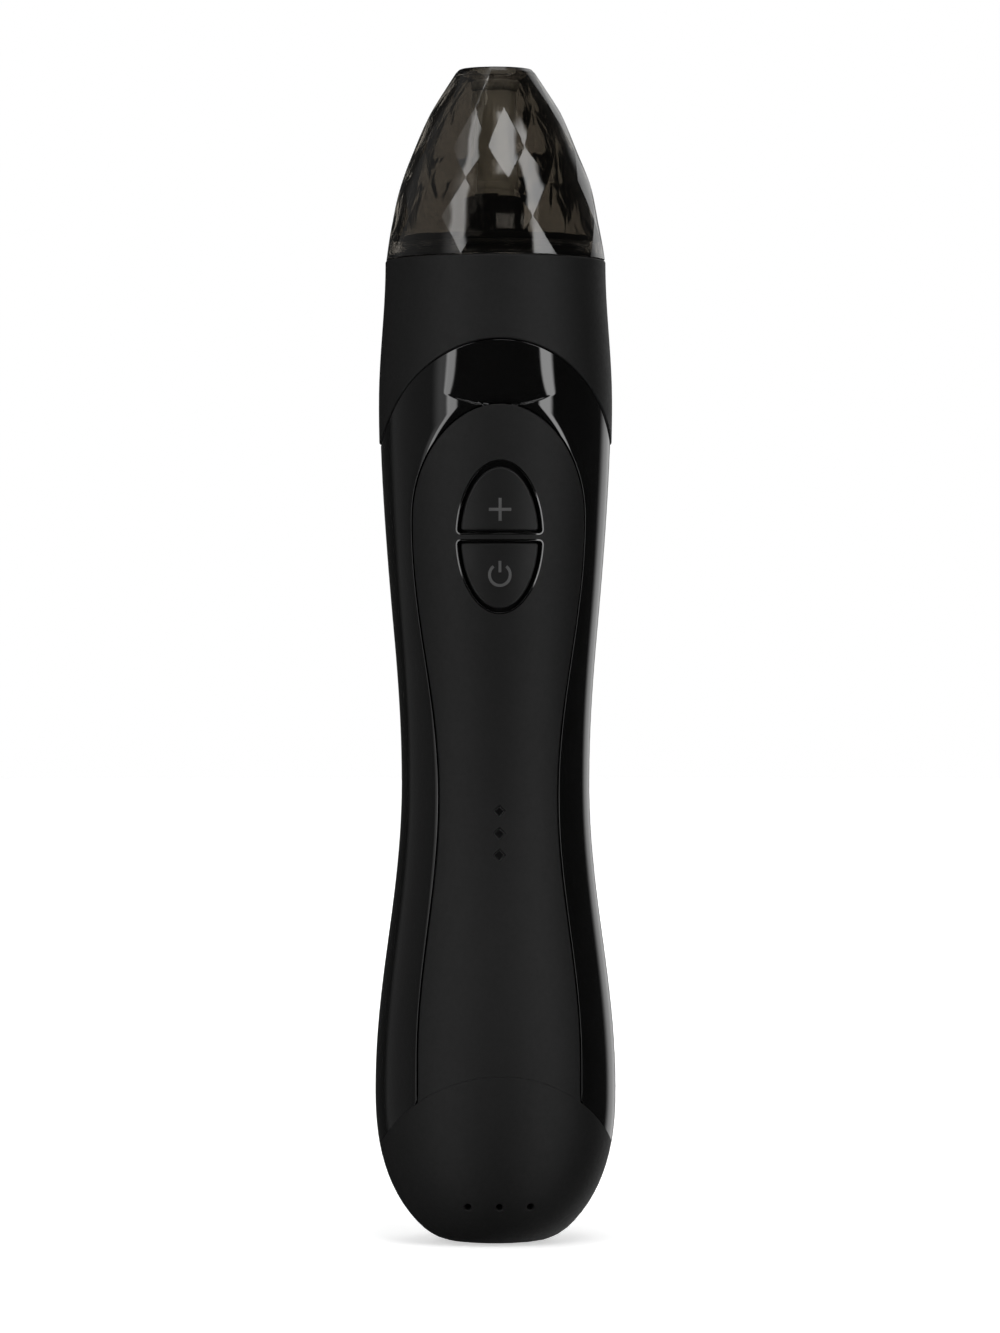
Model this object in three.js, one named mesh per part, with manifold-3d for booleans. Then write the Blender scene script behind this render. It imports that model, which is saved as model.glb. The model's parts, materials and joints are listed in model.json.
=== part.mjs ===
// A cordless pore-vacuum wand: a faceted cap round a slotted suction tip, a gripped body with
// two buttons, and a diaphragm pump, battery and circuit board inside.
//
// Millimetres. +Z runs up the wand from its flat foot, the front with the buttons faces -Y,
// and +X is to the right of someone who looks at the front. The origin is under the foot.
import * as THREE from "three";
import { mergeVertices } from "three/addons/utils/BufferGeometryUtils.js";
import Module from "manifold-3d";

const wasm = await Module();
wasm.setup();

// ---------------------------------------------------------------- driving dimensions

const HEIGHT = 192; // foot to the cap's rim
const GAP = 0.3; // between neighbouring pieces
const WALL = 2; // covers and collar
const FAR = 40; // reach of a cutter, past the whole body

// Stations of the body's outline, from the top down: height, half width, half depth.
const SEAM_Z = 160.6;
const COLLAR_Z = 137;
const WAIST_Z = 75;
const BULGE_Z = 25;
const STATIONS = [
  [SEAM_Z, 18.05, 18.05],
  [COLLAR_Z, 19.15, 18.5],
  [WAIST_Z, 15.4, 14.8],
  [BULGE_Z, 19.7, 18.8],
];
// Below the bulge the outline rounds in as a superellipse to the flat foot.
const DOME_DROP = 27.56;
const DOME_POWER = 2.4;

const SIDES = 28; // points round the body

// Arched joints of the body, as ellipses seen from the front: centre height, half width, rise.
const COLLAR_ARCH = { z: 126, x: 19.5, rise: 21 };
const BASE_ARCH = { z: 9, x: 20.5, rise: 19 };
// Behind the middle the joint between frame and rear cover runs down at this depth.
const REAR_LINE = { y: 9, z: 118 };

// Front cover: a tongue, widest near the buttons and narrowest at the waist.
const TONGUE = { top: 136.4, wideZ: 118, wide: 14, waistZ: 73, waist: 9.6, lowZ: 30, low: 13.2 };
const COVER_WALL = 1.8;
const FRAME_WALL = 2.4;
const COVE_DEPTH = 1.4; // scoop between the collar's arch and the tongue
const COVE_RUN = 3; // height over which the scoop sinks in
const FRAME_DROP = 0.2; // the frame lies this far under the front cover beside the tongue
const LEDGE = { inset: 2.1, depth: 1.5, outer: 2.4, inner: 2 };

// Buttons: one oval, parted by a bar of the front cover.
const OVAL = { z: 115, x: 6.9, rise: 12.2 };
const BAR_HALF = 0.62;
const BUTTON_CLEARANCE = 0.35;
const BUTTON_INSET = 0.5;
const BUTTON_THICK = 1.9;
const BUTTON_TRAVEL = 0.5;
const PLUS_Z = 120.2;
const POWER_Z = 109.8;
const LENS_Z = [70.7, 67.1, 63.6];
const LENS_HALF = 0.85;
const VENTS = { z: 6.6, x: 5.1, r: 0.6 };

// Cap: a lattice of facets. Rows from the rim down: height, radius.
const FACETS = 14;
const CAP_ROWS = [
  [191.4, 6.55],
  [184.9, 10.7],
  [178.3, 13.6],
  [173.1, 15.6],
  [166.9, 17.0],
  [SEAM_Z + 0.2, 18.0],
];
const CAP_TURN = THREE.MathUtils.degToRad(-7.6); // of the third row's vertices, from the front
const CAP_MOUTH_R = 5.2;
const CAP_FOOT_R = 16.2;

// Tip, its post and the deck under the cap.
const TIP = { r: 3.3, bore: 2.3, foot: 164.4, discR: 3.9, discZ: 188, discH: 1.8 };
const SLOTS = { count: 2, width: 1.5, from: 173.6, to: 186.4 };
const POST = { r: 5.2, flangeR: 6.1, z: 160.3, flangeH: 2.8, top: 171.2, bore: 3.6 };
const DECK = { z: 156, top: 160.8, r: 15.7, pocketR: 6.4, pocketZ: 158.2 };
const SPIGOT = { r: 15.4, inner: 13.8, top: 164.4, grooveZ: 162.7 };
const NIPPLE = { r: 1.7, bore: 0.9 };

// Pump and motor, on one axis behind the chassis plate.
const PUMP_Y = 3;
const MOTOR = { r: 9.8, z: 99, top: 126 };
const SHAFT_R = 1;
const PUMP = { r: 11.6, caseZ: 126.4, caseTop: 134, diaphragmTop: 136.2, headTop: 143 };
const CRANK = { z: 127.2, h: 1.8, r: 5, pin: 2.2, pinR: 1.2, pinTop: 131.4 };

// Battery, chassis, boards.
const CELL = { r: 8.2, y: 2.6, z: 22.6, length: 65 };
const PLATE = { x: 7, front: -8.6, rear: -7.2, z: 20, top: 124 };
const BOARD = { x: 6.5, front: -10.8, rear: -9.6, z: 56, top: 130 };
const SWITCH = { half: 3, back: -11, front: -12.6, plungerR: 1.2, tip: -13.2 };
const CHARGE_BOARD = { x: 7, y: 5, rear: 13.4, z: 13.6, h: 1.2 };
const SOCKET = { x: 4.45, y: 10.6, rear: 17.4, z: 15.1, h: 3.2, wall: 0.4 };
const LEAD_R = 0.6;
const SCREW = { head: 2, headH: 1, r: 0.9 };
const BASE_SCREW_X = 5.2;
const REAR_SCREW_Z = 94;
const BOARD_SCREWS_Z = [59, 100.5];

// ---------------------------------------------------------------- finishes

const FINISHES = {
  softTouch: { color: 0x1e1e1e, roughness: 0.62, metalness: 0 },
  gloss: { color: 0x060606, roughness: 0.06, metalness: 0 },
  button: { color: 0x202020, roughness: 0.55, metalness: 0 },
  smoke: { color: 0x101010, roughness: 0.05, metalness: 0, transparent: true, opacity: 0.55 },
  tip: { color: 0xb5b2aa, roughness: 0.45, metalness: 0 },
  abrasive: { color: 0x9d9a94, roughness: 0.85, metalness: 0 },
  blackPlastic: { color: 0x0c0c0c, roughness: 0.4, metalness: 0 },
  rubber: { color: 0x161616, roughness: 0.75, metalness: 0 },
  silicone: { color: 0xcfcfca, roughness: 0.6, metalness: 0 },
  felt: { color: 0xe6e4dd, roughness: 0.95, metalness: 0 },
  steel: { color: 0xa9abad, roughness: 0.3, metalness: 1 },
  greyPlastic: { color: 0x8b8d8f, roughness: 0.5, metalness: 0 },
  board: { color: 0x14532e, roughness: 0.5, metalness: 0 },
  cell: { color: 0x2a5fa8, roughness: 0.4, metalness: 0 },
  foam: { color: 0x3a3a3a, roughness: 1, metalness: 0 },
  lens: { color: 0x0a0a0a, roughness: 0.2, metalness: 0 },
  redLead: { color: 0x9e1a16, roughness: 0.5, metalness: 0 },
  blackLead: { color: 0x111111, roughness: 0.5, metalness: 0 },
};

const wand = new THREE.Group();

/** Adds one named piece, with a material of its own, to the wand or to a group in it. */
function addPiece(name, shape, finish, parent = wand) {
  const geometry = shape.isBufferGeometry ? shape : geometryOf(shape);
  const mesh = new THREE.Mesh(geometry, new THREE.MeshStandardMaterial(FINISHES[finish]));
  mesh.name = name;
  parent.add(mesh);
  return mesh;
}

// ---------------------------------------------------------------- solids

/** A closed geometry as a solid that can be joined and cut. */
function solid(geometry) {
  const bare = geometry.clone();
  bare.deleteAttribute("normal");
  bare.deleteAttribute("uv");
  const merged = mergeVertices(bare, 1e-4);
  const corners = merged.index.array;
  const triVerts = [];
  for (let start = 0; start < corners.length; start += 3) {
    const triangle = [...corners.slice(start, start + 3)];
    if (new Set(triangle).size === 3) triVerts.push(...triangle);
  }
  const mesh = new wasm.Mesh({
    numProp: 3,
    vertProperties: Float32Array.from(merged.attributes.position.array),
    triVerts: Uint32Array.from(triVerts),
  });
  return new wasm.Manifold(mesh);
}

/** A solid back as a geometry with flat-shaded normals. */
function geometryOf(shape) {
  const mesh = shape.getMesh();
  const geometry = new THREE.BufferGeometry();
  geometry.setAttribute("position", new THREE.BufferAttribute(mesh.vertProperties, 3));
  geometry.setIndex(new THREE.BufferAttribute(mesh.triVerts, 1));
  geometry.computeVertexNormals();
  return geometry;
}

const join = (first, ...others) => others.reduce((sum, next) => sum.add(next), first);
const cut = (first, ...others) => others.reduce((rest, next) => rest.subtract(next), first);

/** A box between two corners. */
function box(low, high) {
  const size = high.map((value, axis) => value - low[axis]);
  const middle = high.map((value, axis) => (value + low[axis]) / 2);
  return solid(new THREE.BoxGeometry(...size).translate(...middle));
}

/** An upright solid of revolution. Outline points are [radius, height] and close on themselves. */
function turned(outline, sides = 16) {
  const points = [...outline, outline[0]].map(([radius, z]) => new THREE.Vector2(radius, z));
  return solid(new THREE.LatheGeometry(points, sides).rotateX(Math.PI / 2));
}

/** An upright cylinder, or a tube where inner is given. */
function cylinder(radius, low, high, inner = 0, sides = 16) {
  return turned([[inner, low], [radius, low], [radius, high], [inner, high]], sides);
}

/** A cylinder along Y between two depths, about the point x, z. */
function rod(x, z, radius, front, rear, sides = 10) {
  const geometry = new THREE.CylinderGeometry(radius, radius, rear - front, sides);
  return solid(geometry.translate(x, (front + rear) / 2, z));
}

/** An outline seen from the front, x across and y up, run from the front depth to the rear one. */
function throughY(shape, front = -FAR, rear = FAR, curveSegments = 18) {
  const geometry = new THREE.ExtrudeGeometry(shape, {
    depth: rear - front,
    bevelEnabled: false,
    curveSegments,
  });
  return solid(geometry.rotateX(Math.PI / 2).translate(0, rear, 0));
}

/** An outline seen from the side, x towards the back and y up, run across the whole width. */
function throughX(shape, curveSegments) {
  const options = { depth: 2 * FAR, bevelEnabled: false, curveSegments };
  const geometry = new THREE.ExtrudeGeometry(shape, options);
  const turn = new THREE.Matrix4().makeBasis(
    new THREE.Vector3(0, 1, 0),
    new THREE.Vector3(0, 0, 1),
    new THREE.Vector3(1, 0, 0),
  );
  return solid(geometry.applyMatrix4(turn).translate(-FAR, 0, 0));
}

/** A closed solid through a stack of rings with the same number of points, lowest ring first. */
function loft(rings) {
  const count = rings[0].length;
  const points = rings.flat();
  const ends = [rings[0], rings.at(-1)];
  const middles = ends.map((ring) => {
    const sum = ring.reduce((total, point) => total.add(point), new THREE.Vector3());
    return sum.divideScalar(count);
  });
  const last = (rings.length - 1) * count;
  const indices = [];
  for (let side = 0; side < count; side += 1) {
    const next = (side + 1) % count;
    for (let row = 0; row < last; row += count) {
      indices.push(row + side, row + next, row + count + next);
      indices.push(row + side, row + count + next, row + count + side);
    }
    indices.push(points.length, next, side);
    indices.push(points.length + 1, last + side, last + next);
  }
  const geometry = new THREE.BufferGeometry().setFromPoints([...points, ...middles]);
  geometry.setIndex(indices);
  return geometry;
}

/** A round tube along a smooth curve through the points. */
function lead(points, steps = 9) {
  const section = new THREE.Shape().absarc(0, 0, LEAD_R, 0, 2 * Math.PI);
  const path = new THREE.CatmullRomCurve3(points.map((point) => new THREE.Vector3(...point)));
  const options = { steps, extrudePath: path, curveSegments: 4, bevelEnabled: false };
  return solid(new THREE.ExtrudeGeometry(section, options));
}

// ---------------------------------------------------------------- the body's outline

const eased = (share) => (1 - Math.cos(Math.PI * share)) / 2;

/** Half width (column 1) or half depth (column 2) of the body at a height. */
function halfSize(z, column) {
  if (z <= BULGE_Z) {
    const drop = ((BULGE_Z - z) / DOME_DROP) ** DOME_POWER;
    return STATIONS.at(-1)[column] * Math.sqrt(1 - drop);
  }
  const below = STATIONS.findIndex(([height]) => height < z);
  const [upper, lower] = [STATIONS[Math.max(below, 1) - 1], STATIONS[Math.max(below, 1)]];
  const share = Math.min((z - lower[0]) / (upper[0] - lower[0]), 1);
  return lower[column] + (upper[column] - lower[column]) * eased(share);
}

/** Heights at which the body's rings lie, closer together on the dome and round the scoop. */
function ringHeights(low, high) {
  const all = [0, 2, 5, 9, 15, 25, 38, 50, 62, 75, 90, 104, 118, 130, 136.5, 139, 141.5, 150];
  return [low, ...all.filter((z) => z > low + 0.6 && z < high - 0.6), high];
}

/** The body as a solid between two heights, drawn in by inset, and sunk at the front by sink. */
function bodySolid(low, high, inset = 0, sink = () => 0) {
  const rings = ringHeights(low, high).map((z) => {
    const [a, b] = [halfSize(z, 1) - inset, halfSize(z, 2) - inset];
    return Array.from({ length: SIDES }, (_, side) => {
      const angle = (2 * Math.PI * side) / SIDES;
      const [x, y] = [a * Math.cos(angle), b * Math.sin(angle)];
      return new THREE.Vector3(x, y < 0 ? y + sink(x / a, z) : y, z);
    });
  });
  return solid(loft(rings));
}

/** How far the glossy frame lies under the body's outline: deep in the scoop, none at the sides. */
function frameSink(across, z) {
  const cove = THREE.MathUtils.smoothstep(z, TONGUE.top, TONGUE.top + COVE_RUN);
  const beside = FRAME_DROP * THREE.MathUtils.smoothstep(z, BULGE_Z, WAIST_Z);
  return (beside + (COVE_DEPTH - beside) * cove) * (1 - across ** 2);
}

// ---------------------------------------------------------------- the body's joints

/** Everything under an arch seen from the front, with the arch lowered by drop. */
function underArch(arch, drop) {
  const shape = new THREE.Shape();
  shape.moveTo(FAR, -FAR);
  shape.lineTo(FAR, arch.z - drop);
  shape.lineTo(arch.x, arch.z - drop);
  shape.absellipse(0, arch.z - drop, arch.x, arch.rise, 0, Math.PI, false);
  shape.lineTo(-FAR, arch.z - drop);
  shape.lineTo(-FAR, -FAR);
  return shape;
}

/** Height at which the collar's arch meets the body's widest line. */
function archFootZ() {
  let z = COLLAR_ARCH.z;
  for (let pass = 0; pass < 8; pass += 1) {
    const share = halfSize(z, 1) / COLLAR_ARCH.x;
    z = COLLAR_ARCH.z + COLLAR_ARCH.rise * Math.sqrt(1 - share ** 2);
  }
  return z;
}

/** Everything under the collar: the arch in front, and level round the back. */
function underCollar(drop) {
  const front = throughY(underArch(COLLAR_ARCH, drop), -FAR, 0.01);
  return join(front, box([-FAR, 0, -FAR], [FAR, FAR, archFootZ() - drop]));
}

const underBaseArch = (drop) => throughY(underArch(BASE_ARCH, drop));

/** Everything behind the line where the frame ends and the rear cover starts. */
function behindRearLine(back) {
  const shape = new THREE.Shape();
  const top = archFootZ();
  shape.moveTo(REAR_LINE.y + back, -FAR);
  shape.lineTo(FAR, -FAR);
  shape.lineTo(FAR, top + 1);
  shape.lineTo(back, top + 1);
  shape.lineTo(back, top);
  shape.absellipse(back, REAR_LINE.z, REAR_LINE.y, top - REAR_LINE.z, Math.PI / 2, 0, true);
  shape.lineTo(REAR_LINE.y + back, -FAR);
  return throughX(shape, 6);
}

/** The front cover's outline, grown all round by grow, as a block through the front half. */
function tonguePrism(grow) {
  const shape = new THREE.Shape();
  const steps = 8;
  const side = [];
  for (let step = 0; step < steps; step += 1) {
    const angle = (Math.PI / 2) * (1 - step / steps);
    const x = (TONGUE.wide + grow) * Math.cos(angle);
    side.push([x, TONGUE.wideZ + (TONGUE.top - TONGUE.wideZ + grow) * Math.sin(angle)]);
  }
  for (let step = 0; step < steps; step += 1) {
    const share = step / steps;
    const z = THREE.MathUtils.lerp(TONGUE.wideZ, TONGUE.waistZ, share);
    side.push([THREE.MathUtils.lerp(TONGUE.wide, TONGUE.waist, eased(share)) + grow, z]);
  }
  for (let step = 0; step <= steps; step += 1) {
    const share = step / steps;
    const z = THREE.MathUtils.lerp(TONGUE.waistZ, TONGUE.lowZ, share);
    side.push([THREE.MathUtils.lerp(TONGUE.waist, TONGUE.low, eased(share)) + grow, z]);
  }
  side.push([TONGUE.low + grow, 0]);
  const mirrored = side.slice(1).map(([x, z]) => [-x, z]).reverse();
  [...side, ...mirrored].forEach(([x, z], index) => {
    if (index === 0) shape.moveTo(x, z);
    else shape.lineTo(x, z);
  });
  return throughY(shape, -FAR, 0);
}

/** One half of the buttons' oval, above or below the bar, grown by grow. */
function buttonPrism(isUpper, grow) {
  const shape = new THREE.Shape();
  shape.absellipse(0, OVAL.z, OVAL.x + grow, OVAL.rise + grow, 0, 2 * Math.PI);
  const bar = BAR_HALF - grow;
  const half = isUpper
    ? box([-FAR, -FAR, OVAL.z + bar], [FAR, 0, HEIGHT])
    : box([-FAR, -FAR, 0], [FAR, 0, OVAL.z - bar]);
  return throughY(shape, -FAR, 0, 8).intersect(half);
}

/** A diamond-shaped hole or lens for an indicator. */
function diamondPrism(z, half, front, rear) {
  const shape = new THREE.Shape();
  shape.moveTo(half, z);
  shape.lineTo(0, z + half);
  shape.lineTo(-half, z);
  shape.lineTo(0, z - half);
  return throughY(shape, front, rear);
}

// ---------------------------------------------------------------- covers

function addCollar() {
  const bottom = 120;
  const ring = cut(bodySolid(bottom, SEAM_Z), bodySolid(bottom - 1, SEAM_Z + 1, WALL));
  addPiece("collar", cut(ring, underCollar(0)), "softTouch");
}

function addSideFrame() {
  const [low, high] = [8, SEAM_Z - 8];
  const skin = cut(
    bodySolid(low, high, 0, frameSink),
    bodySolid(low - 1, high + 1, FRAME_WALL, frameSink),
    tonguePrism(GAP),
  );
  const ledge = cut(
    bodySolid(low, high, LEDGE.inset).intersect(tonguePrism(LEDGE.outer)),
    bodySolid(low - 1, high + 1, LEDGE.inset + LEDGE.depth),
    tonguePrism(-LEDGE.inner),
  );
  const frame = join(skin, ledge).intersect(underCollar(GAP));
  addPiece("side_frame", cut(frame, behindRearLine(0), underBaseArch(0)), "gloss");
}

function addRearCover() {
  const shell = cut(bodySolid(8, 150), bodySolid(7, 151, WALL));
  const rear = cut(shell, underBaseArch(0)).intersect(underCollar(GAP));
  const screwHole = rod(0, REAR_SCREW_Z, SCREW.r + GAP, 0, FAR);
  const seat = rod(0, REAR_SCREW_Z, SCREW.head + GAP, halfSize(REAR_SCREW_Z, 2) - 0.9, FAR);
  addPiece("rear_cover", cut(rear.intersect(behindRearLine(GAP)), screwHole, seat), "softTouch");
}

function addFrontCover() {
  const skin = cut(bodySolid(8, 150), bodySolid(7, 151, COVER_WALL)).intersect(tonguePrism(0));
  const holes = [buttonPrism(true, 0), buttonPrism(false, 0)];
  for (const z of LENS_Z) holes.push(diamondPrism(z, LENS_HALF + GAP, -FAR, 0));
  addPiece("front_cover", cut(skin, underBaseArch(0), ...holes), "softTouch");
}

function addBaseCover() {
  const shell = cut(bodySolid(0, 40), bodySolid(2.6, 41, WALL)).intersect(underBaseArch(GAP));
  const holes = [-1, 0, 1].map((side) => rod(side * VENTS.x, VENTS.z, VENTS.r, -FAR, 0, 8));
  for (const side of [-1, 1]) {
    const x = side * BASE_SCREW_X;
    holes.push(cylinder(SCREW.r + GAP, -1, 4, 0, 10).translate([x, 0, 0]));
    holes.push(cylinder(SCREW.head + GAP, -1, 1.3, 0, 10).translate([x, 0, 0]));
  }
  const { x, z, h } = SOCKET;
  holes.push(box([-x - GAP, 10, z - GAP], [x + GAP, FAR, z + h + GAP]));
  addPiece("base_cover", cut(shell, ...holes), "softTouch");
}

// ---------------------------------------------------------------- buttons and lenses

/** A button: a cap in the oval, a flange that keeps it in, and a stem over its switch. */
function addButton(name, isUpper, stemZ) {
  const face = buttonPrism(isUpper, -BUTTON_CLEARANCE);
  const back = BUTTON_INSET + BUTTON_THICK;
  const cap = cut(bodySolid(98, 134, BUTTON_INSET).intersect(face), bodySolid(97, 135, back + 0.5));
  const flangeArea = buttonPrism(isUpper, 0.6);
  const under = COVER_WALL + GAP;
  const flange = cut(bodySolid(98, 134, under).intersect(flangeArea), bodySolid(97, 135, back + 0.5));
  const stemFront = -halfSize(stemZ, 2) + BUTTON_INSET + 1;
  const stem = rod(0, stemZ, 1.5, stemFront, SWITCH.tip - BUTTON_TRAVEL - 0.1, 12);
  addPiece(name, join(cap, flange, stem), "button");
}

function addLenses() {
  LENS_Z.forEach((z, index) => {
    const block = diamondPrism(z, LENS_HALF, -FAR, BOARD.front - 1.1);
    const lens = bodySolid(50, 90, 0.05).intersect(block);
    addPiece(`indicator_lens_${index + 1}`, lens, "lens");
  });
}

// ---------------------------------------------------------------- cap, tip, post and deck

/** The cap's outside: rows of vertices, each turned half a step from the one above. */
function facetedCap() {
  const step = (2 * Math.PI) / FACETS;
  const rings = CAP_ROWS.map(([z, radius], row) => {
    const turn = CAP_TURN + (row % 2 ? step / 2 : 0);
    return Array.from({ length: FACETS }, (_, side) => {
      const angle = turn + side * step;
      return new THREE.Vector3(radius * Math.sin(angle), -radius * Math.cos(angle), z);
    });
  });
  const rimR = CAP_ROWS[0][1] - 0.6;
  const rim = rings[0].map((point) => {
    const inward = rimR / CAP_ROWS[0][1];
    return new THREE.Vector3(point.x * inward, point.y * inward, HEIGHT);
  });
  const points = [...rim, ...rings.flat()];
  const indices = [];
  const count = FACETS;
  for (let side = 0; side < count; side += 1) {
    const next = (side + 1) % count;
    indices.push(side, count + side, count + next, side, count + next, next);
    for (let row = 1; row < rings.length; row += 1) {
      const [upper, lower] = [row * count, (row + 1) * count];
      const isTurned = row % 2 === 1;
      const [a, b, c, d] = [upper + side, upper + next, lower + side, lower + next];
      if (isTurned) indices.push(a, c, b, b, c, d);
      else indices.push(a, c, d, a, d, b);
    }
    indices.push(points.length, side, next);
    const foot = rings.length * count;
    indices.push(points.length + 1, foot + next, foot + side);
  }
  const ends = [new THREE.Vector3(0, 0, HEIGHT), new THREE.Vector3(0, 0, CAP_ROWS.at(-1)[0])];
  const geometry = new THREE.BufferGeometry().setFromPoints([...points, ...ends]);
  geometry.setIndex(indices);
  return solid(geometry);
}

function addCap() {
  const foot = CAP_ROWS.at(-1)[0];
  const hollow = turned([
    [0, foot - 1],
    [CAP_FOOT_R, foot - 1],
    [CAP_FOOT_R, foot + 4],
    [15.2, 166.9],
    [13.7, 173.1],
    [11.7, 178.3],
    [8.7, 184.9],
    [CAP_MOUTH_R, 190.2],
    [CAP_MOUTH_R, HEIGHT + 1],
    [0, HEIGHT + 1],
  ], 20);
  addPiece("treatment_cap", cut(facetedCap(), hollow), "smoke");
}

function addTip() {
  const tube = cylinder(TIP.r, TIP.foot, TIP.discZ, TIP.bore);
  const slots = Array.from({ length: SLOTS.count }, (_, index) => {
    const slot = box([0, -SLOTS.width / 2, SLOTS.from], [FAR, SLOTS.width / 2, SLOTS.to]);
    return slot.rotate([0, 0, (360 / SLOTS.count) * index]);
  });
  addPiece("suction_tip", cut(tube, ...slots), "tip");
  const top = TIP.discZ + TIP.discH;
  const disc = turned([
    [0, TIP.discZ + 0.05],
    [TIP.discR - 0.4, TIP.discZ + 0.05],
    [TIP.discR, TIP.discZ + 0.5],
    [TIP.discR, top - 0.4],
    [TIP.discR - 0.4, top],
    [0, top],
  ]);
  addPiece("tip_disc", disc, "abrasive");
}

function addPost() {
  const post = turned([
    [NIPPLE.bore, POST.z],
    [POST.flangeR, POST.z],
    [POST.flangeR, POST.z + POST.flangeH],
    [POST.r, POST.z + POST.flangeH],
    [POST.r, POST.top],
    [POST.bore, POST.top],
    [POST.bore, TIP.foot - GAP],
    [NIPPLE.bore, TIP.foot - GAP],
  ]);
  addPiece("tip_post", post, "blackPlastic");
  addPiece("filter_disc", cylinder(POST.flangeR, DECK.pocketZ + 0.2, POST.z - 0.2), "felt");
}

function addDeck() {
  const groove = 1.1;
  const deck = turned([
    [NIPPLE.bore, 151],
    [NIPPLE.r, 151],
    [NIPPLE.r, DECK.z],
    [DECK.r, DECK.z],
    [DECK.r, DECK.top],
    [SPIGOT.r, DECK.top],
    [SPIGOT.r, SPIGOT.grooveZ - groove / 2],
    [SPIGOT.r - 0.9, SPIGOT.grooveZ - groove / 2],
    [SPIGOT.r - 0.9, SPIGOT.grooveZ + groove / 2],
    [SPIGOT.r, SPIGOT.grooveZ + groove / 2],
    [SPIGOT.r, SPIGOT.top],
    [SPIGOT.inner, SPIGOT.top],
    [SPIGOT.inner, DECK.top],
    [DECK.pocketR, DECK.top],
    [DECK.pocketR, DECK.pocketZ],
    [NIPPLE.bore, DECK.pocketZ],
  ], 20);
  addPiece("head_deck", deck, "blackPlastic");
  const ring = new THREE.TorusGeometry(SPIGOT.r - 0.2, 0.5, 6, 20);
  addPiece("cap_seal", ring.translate(0, 0, SPIGOT.grooveZ), "rubber");
}

// ---------------------------------------------------------------- pump and motor

/** The pump, its motor and the tube to the deck, in a group on the pump's own axis. */
function addPump() {
  const group = new THREE.Group();
  group.position.set(0, PUMP_Y, 0);
  wand.add(group);
  const boreR = SHAFT_R + GAP;
  addPiece("pump_motor", cylinder(MOTOR.r, MOTOR.z, MOTOR.top, boreR), "steel", group);
  const shaft = cylinder(SHAFT_R, MOTOR.z + 1, CRANK.z + 0.5, 0, 8);
  const disc = cylinder(CRANK.r, CRANK.z, CRANK.z + CRANK.h, 0, 20);
  const pin = cylinder(CRANK.pinR, CRANK.z + 0.5, CRANK.pinTop, 0, 8).translate([CRANK.pin, 0, 0]);
  addPiece("pump_rotor", join(shaft, disc, pin), "steel", group);
  const housing = turned([
    [boreR, PUMP.caseZ],
    [PUMP.r, PUMP.caseZ],
    [PUMP.r, PUMP.caseTop],
    [PUMP.r - 3, PUMP.caseTop],
    [PUMP.r - 3, PUMP.caseZ + 0.5],
    [boreR, PUMP.caseZ + 0.5],
  ]);
  addPiece("pump_case", housing, "greyPlastic", group);
  const diaphragm = turned([
    [0, PUMP.caseTop - 1.6],
    [4, PUMP.caseTop - 1.6],
    [4, PUMP.caseTop + 0.2],
    [PUMP.r, PUMP.caseTop + 0.2],
    [PUMP.r, PUMP.diaphragmTop - 0.2],
    [0, PUMP.diaphragmTop - 0.2],
  ]);
  addPiece("pump_diaphragm", diaphragm, "rubber", group);
  // The inlet nipple stands on the wand's own axis, straight under the deck's.
  const nipple = cylinder(NIPPLE.r, PUMP.headTop - 1, 148, 0, 16).translate([0, -PUMP_Y, 0]);
  const inlet = cylinder(NIPPLE.bore, PUMP.headTop - 4, 150, 0, 8).translate([0, -PUMP_Y, 0]);
  const chamber = cylinder(PUMP.r - 3, PUMP.diaphragmTop - 1, PUMP.headTop - 3);
  const head = cylinder(PUMP.r, PUMP.diaphragmTop, PUMP.headTop);
  addPiece("pump_head", cut(join(head, nipple), inlet, chamber), "greyPlastic", group);
  addPiece("suction_tube", cylinder(2.9, 144, 155, NIPPLE.r + 0.1, 16), "silicone");
}

// ---------------------------------------------------------------- chassis, boards and battery

function addChassis() {
  const { x, front, rear, z, top } = PLATE;
  const cellTop = CELL.z + CELL.length;
  const upper = cellTop + 1;
  const shelves = [z, upper].map((bottom) => {
    const disc = cylinder(9.4, bottom, bottom + 1.6).translate([0, CELL.y, 0]);
    return join(disc, box([-x + 1, front + 0.2, bottom], [x - 1, CELL.y, bottom + 1.6]));
  });
  const cradle = cylinder(MOTOR.r + 1.4, 109, 119, MOTOR.r + 0.2).translate([0, PUMP_Y, 0]);
  const legs = [-1, 1].map((side) => cylinder(2.2, 3.2, z + 1).translate([side * BASE_SCREW_X, 0, 0]));
  const rearBoss = rod(0, REAR_SCREW_Z, 2, front + 0.2, 12.6);
  const bossSeats = BOARD_SCREWS_Z.map((screwZ) => rod(0, screwZ, 1.8, BOARD.rear + 0.1, rear));
  const frame = join(
    box([-x, front, z], [x, rear, top]),
    cradle,
    rearBoss,
    ...shelves,
    ...legs,
    ...bossSeats,
  );
  const holes = [rod(0, REAR_SCREW_Z, SCREW.r + 0.1, 4, FAR, 12)];
  for (const screwZ of BOARD_SCREWS_Z) holes.push(rod(0, screwZ, SCREW.r + 0.1, -FAR, 0, 8));
  for (const side of [-1, 1]) {
    holes.push(cylinder(SCREW.r + 0.1, 0, 14, 0, 8).translate([side * BASE_SCREW_X, 0, 0]));
    holes.push(box([side * 5 - 2, front - 2, 91], [side * 5 + 2, rear + 1, 96.5]));
  }
  // The rear of the cradle stays open, so that the motor goes in from behind.
  holes.push(box([-7, PUMP_Y + 4, 100], [7, FAR, 125]));
  addPiece("inner_chassis", cut(frame, ...holes), "greyPlastic");
}

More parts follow.
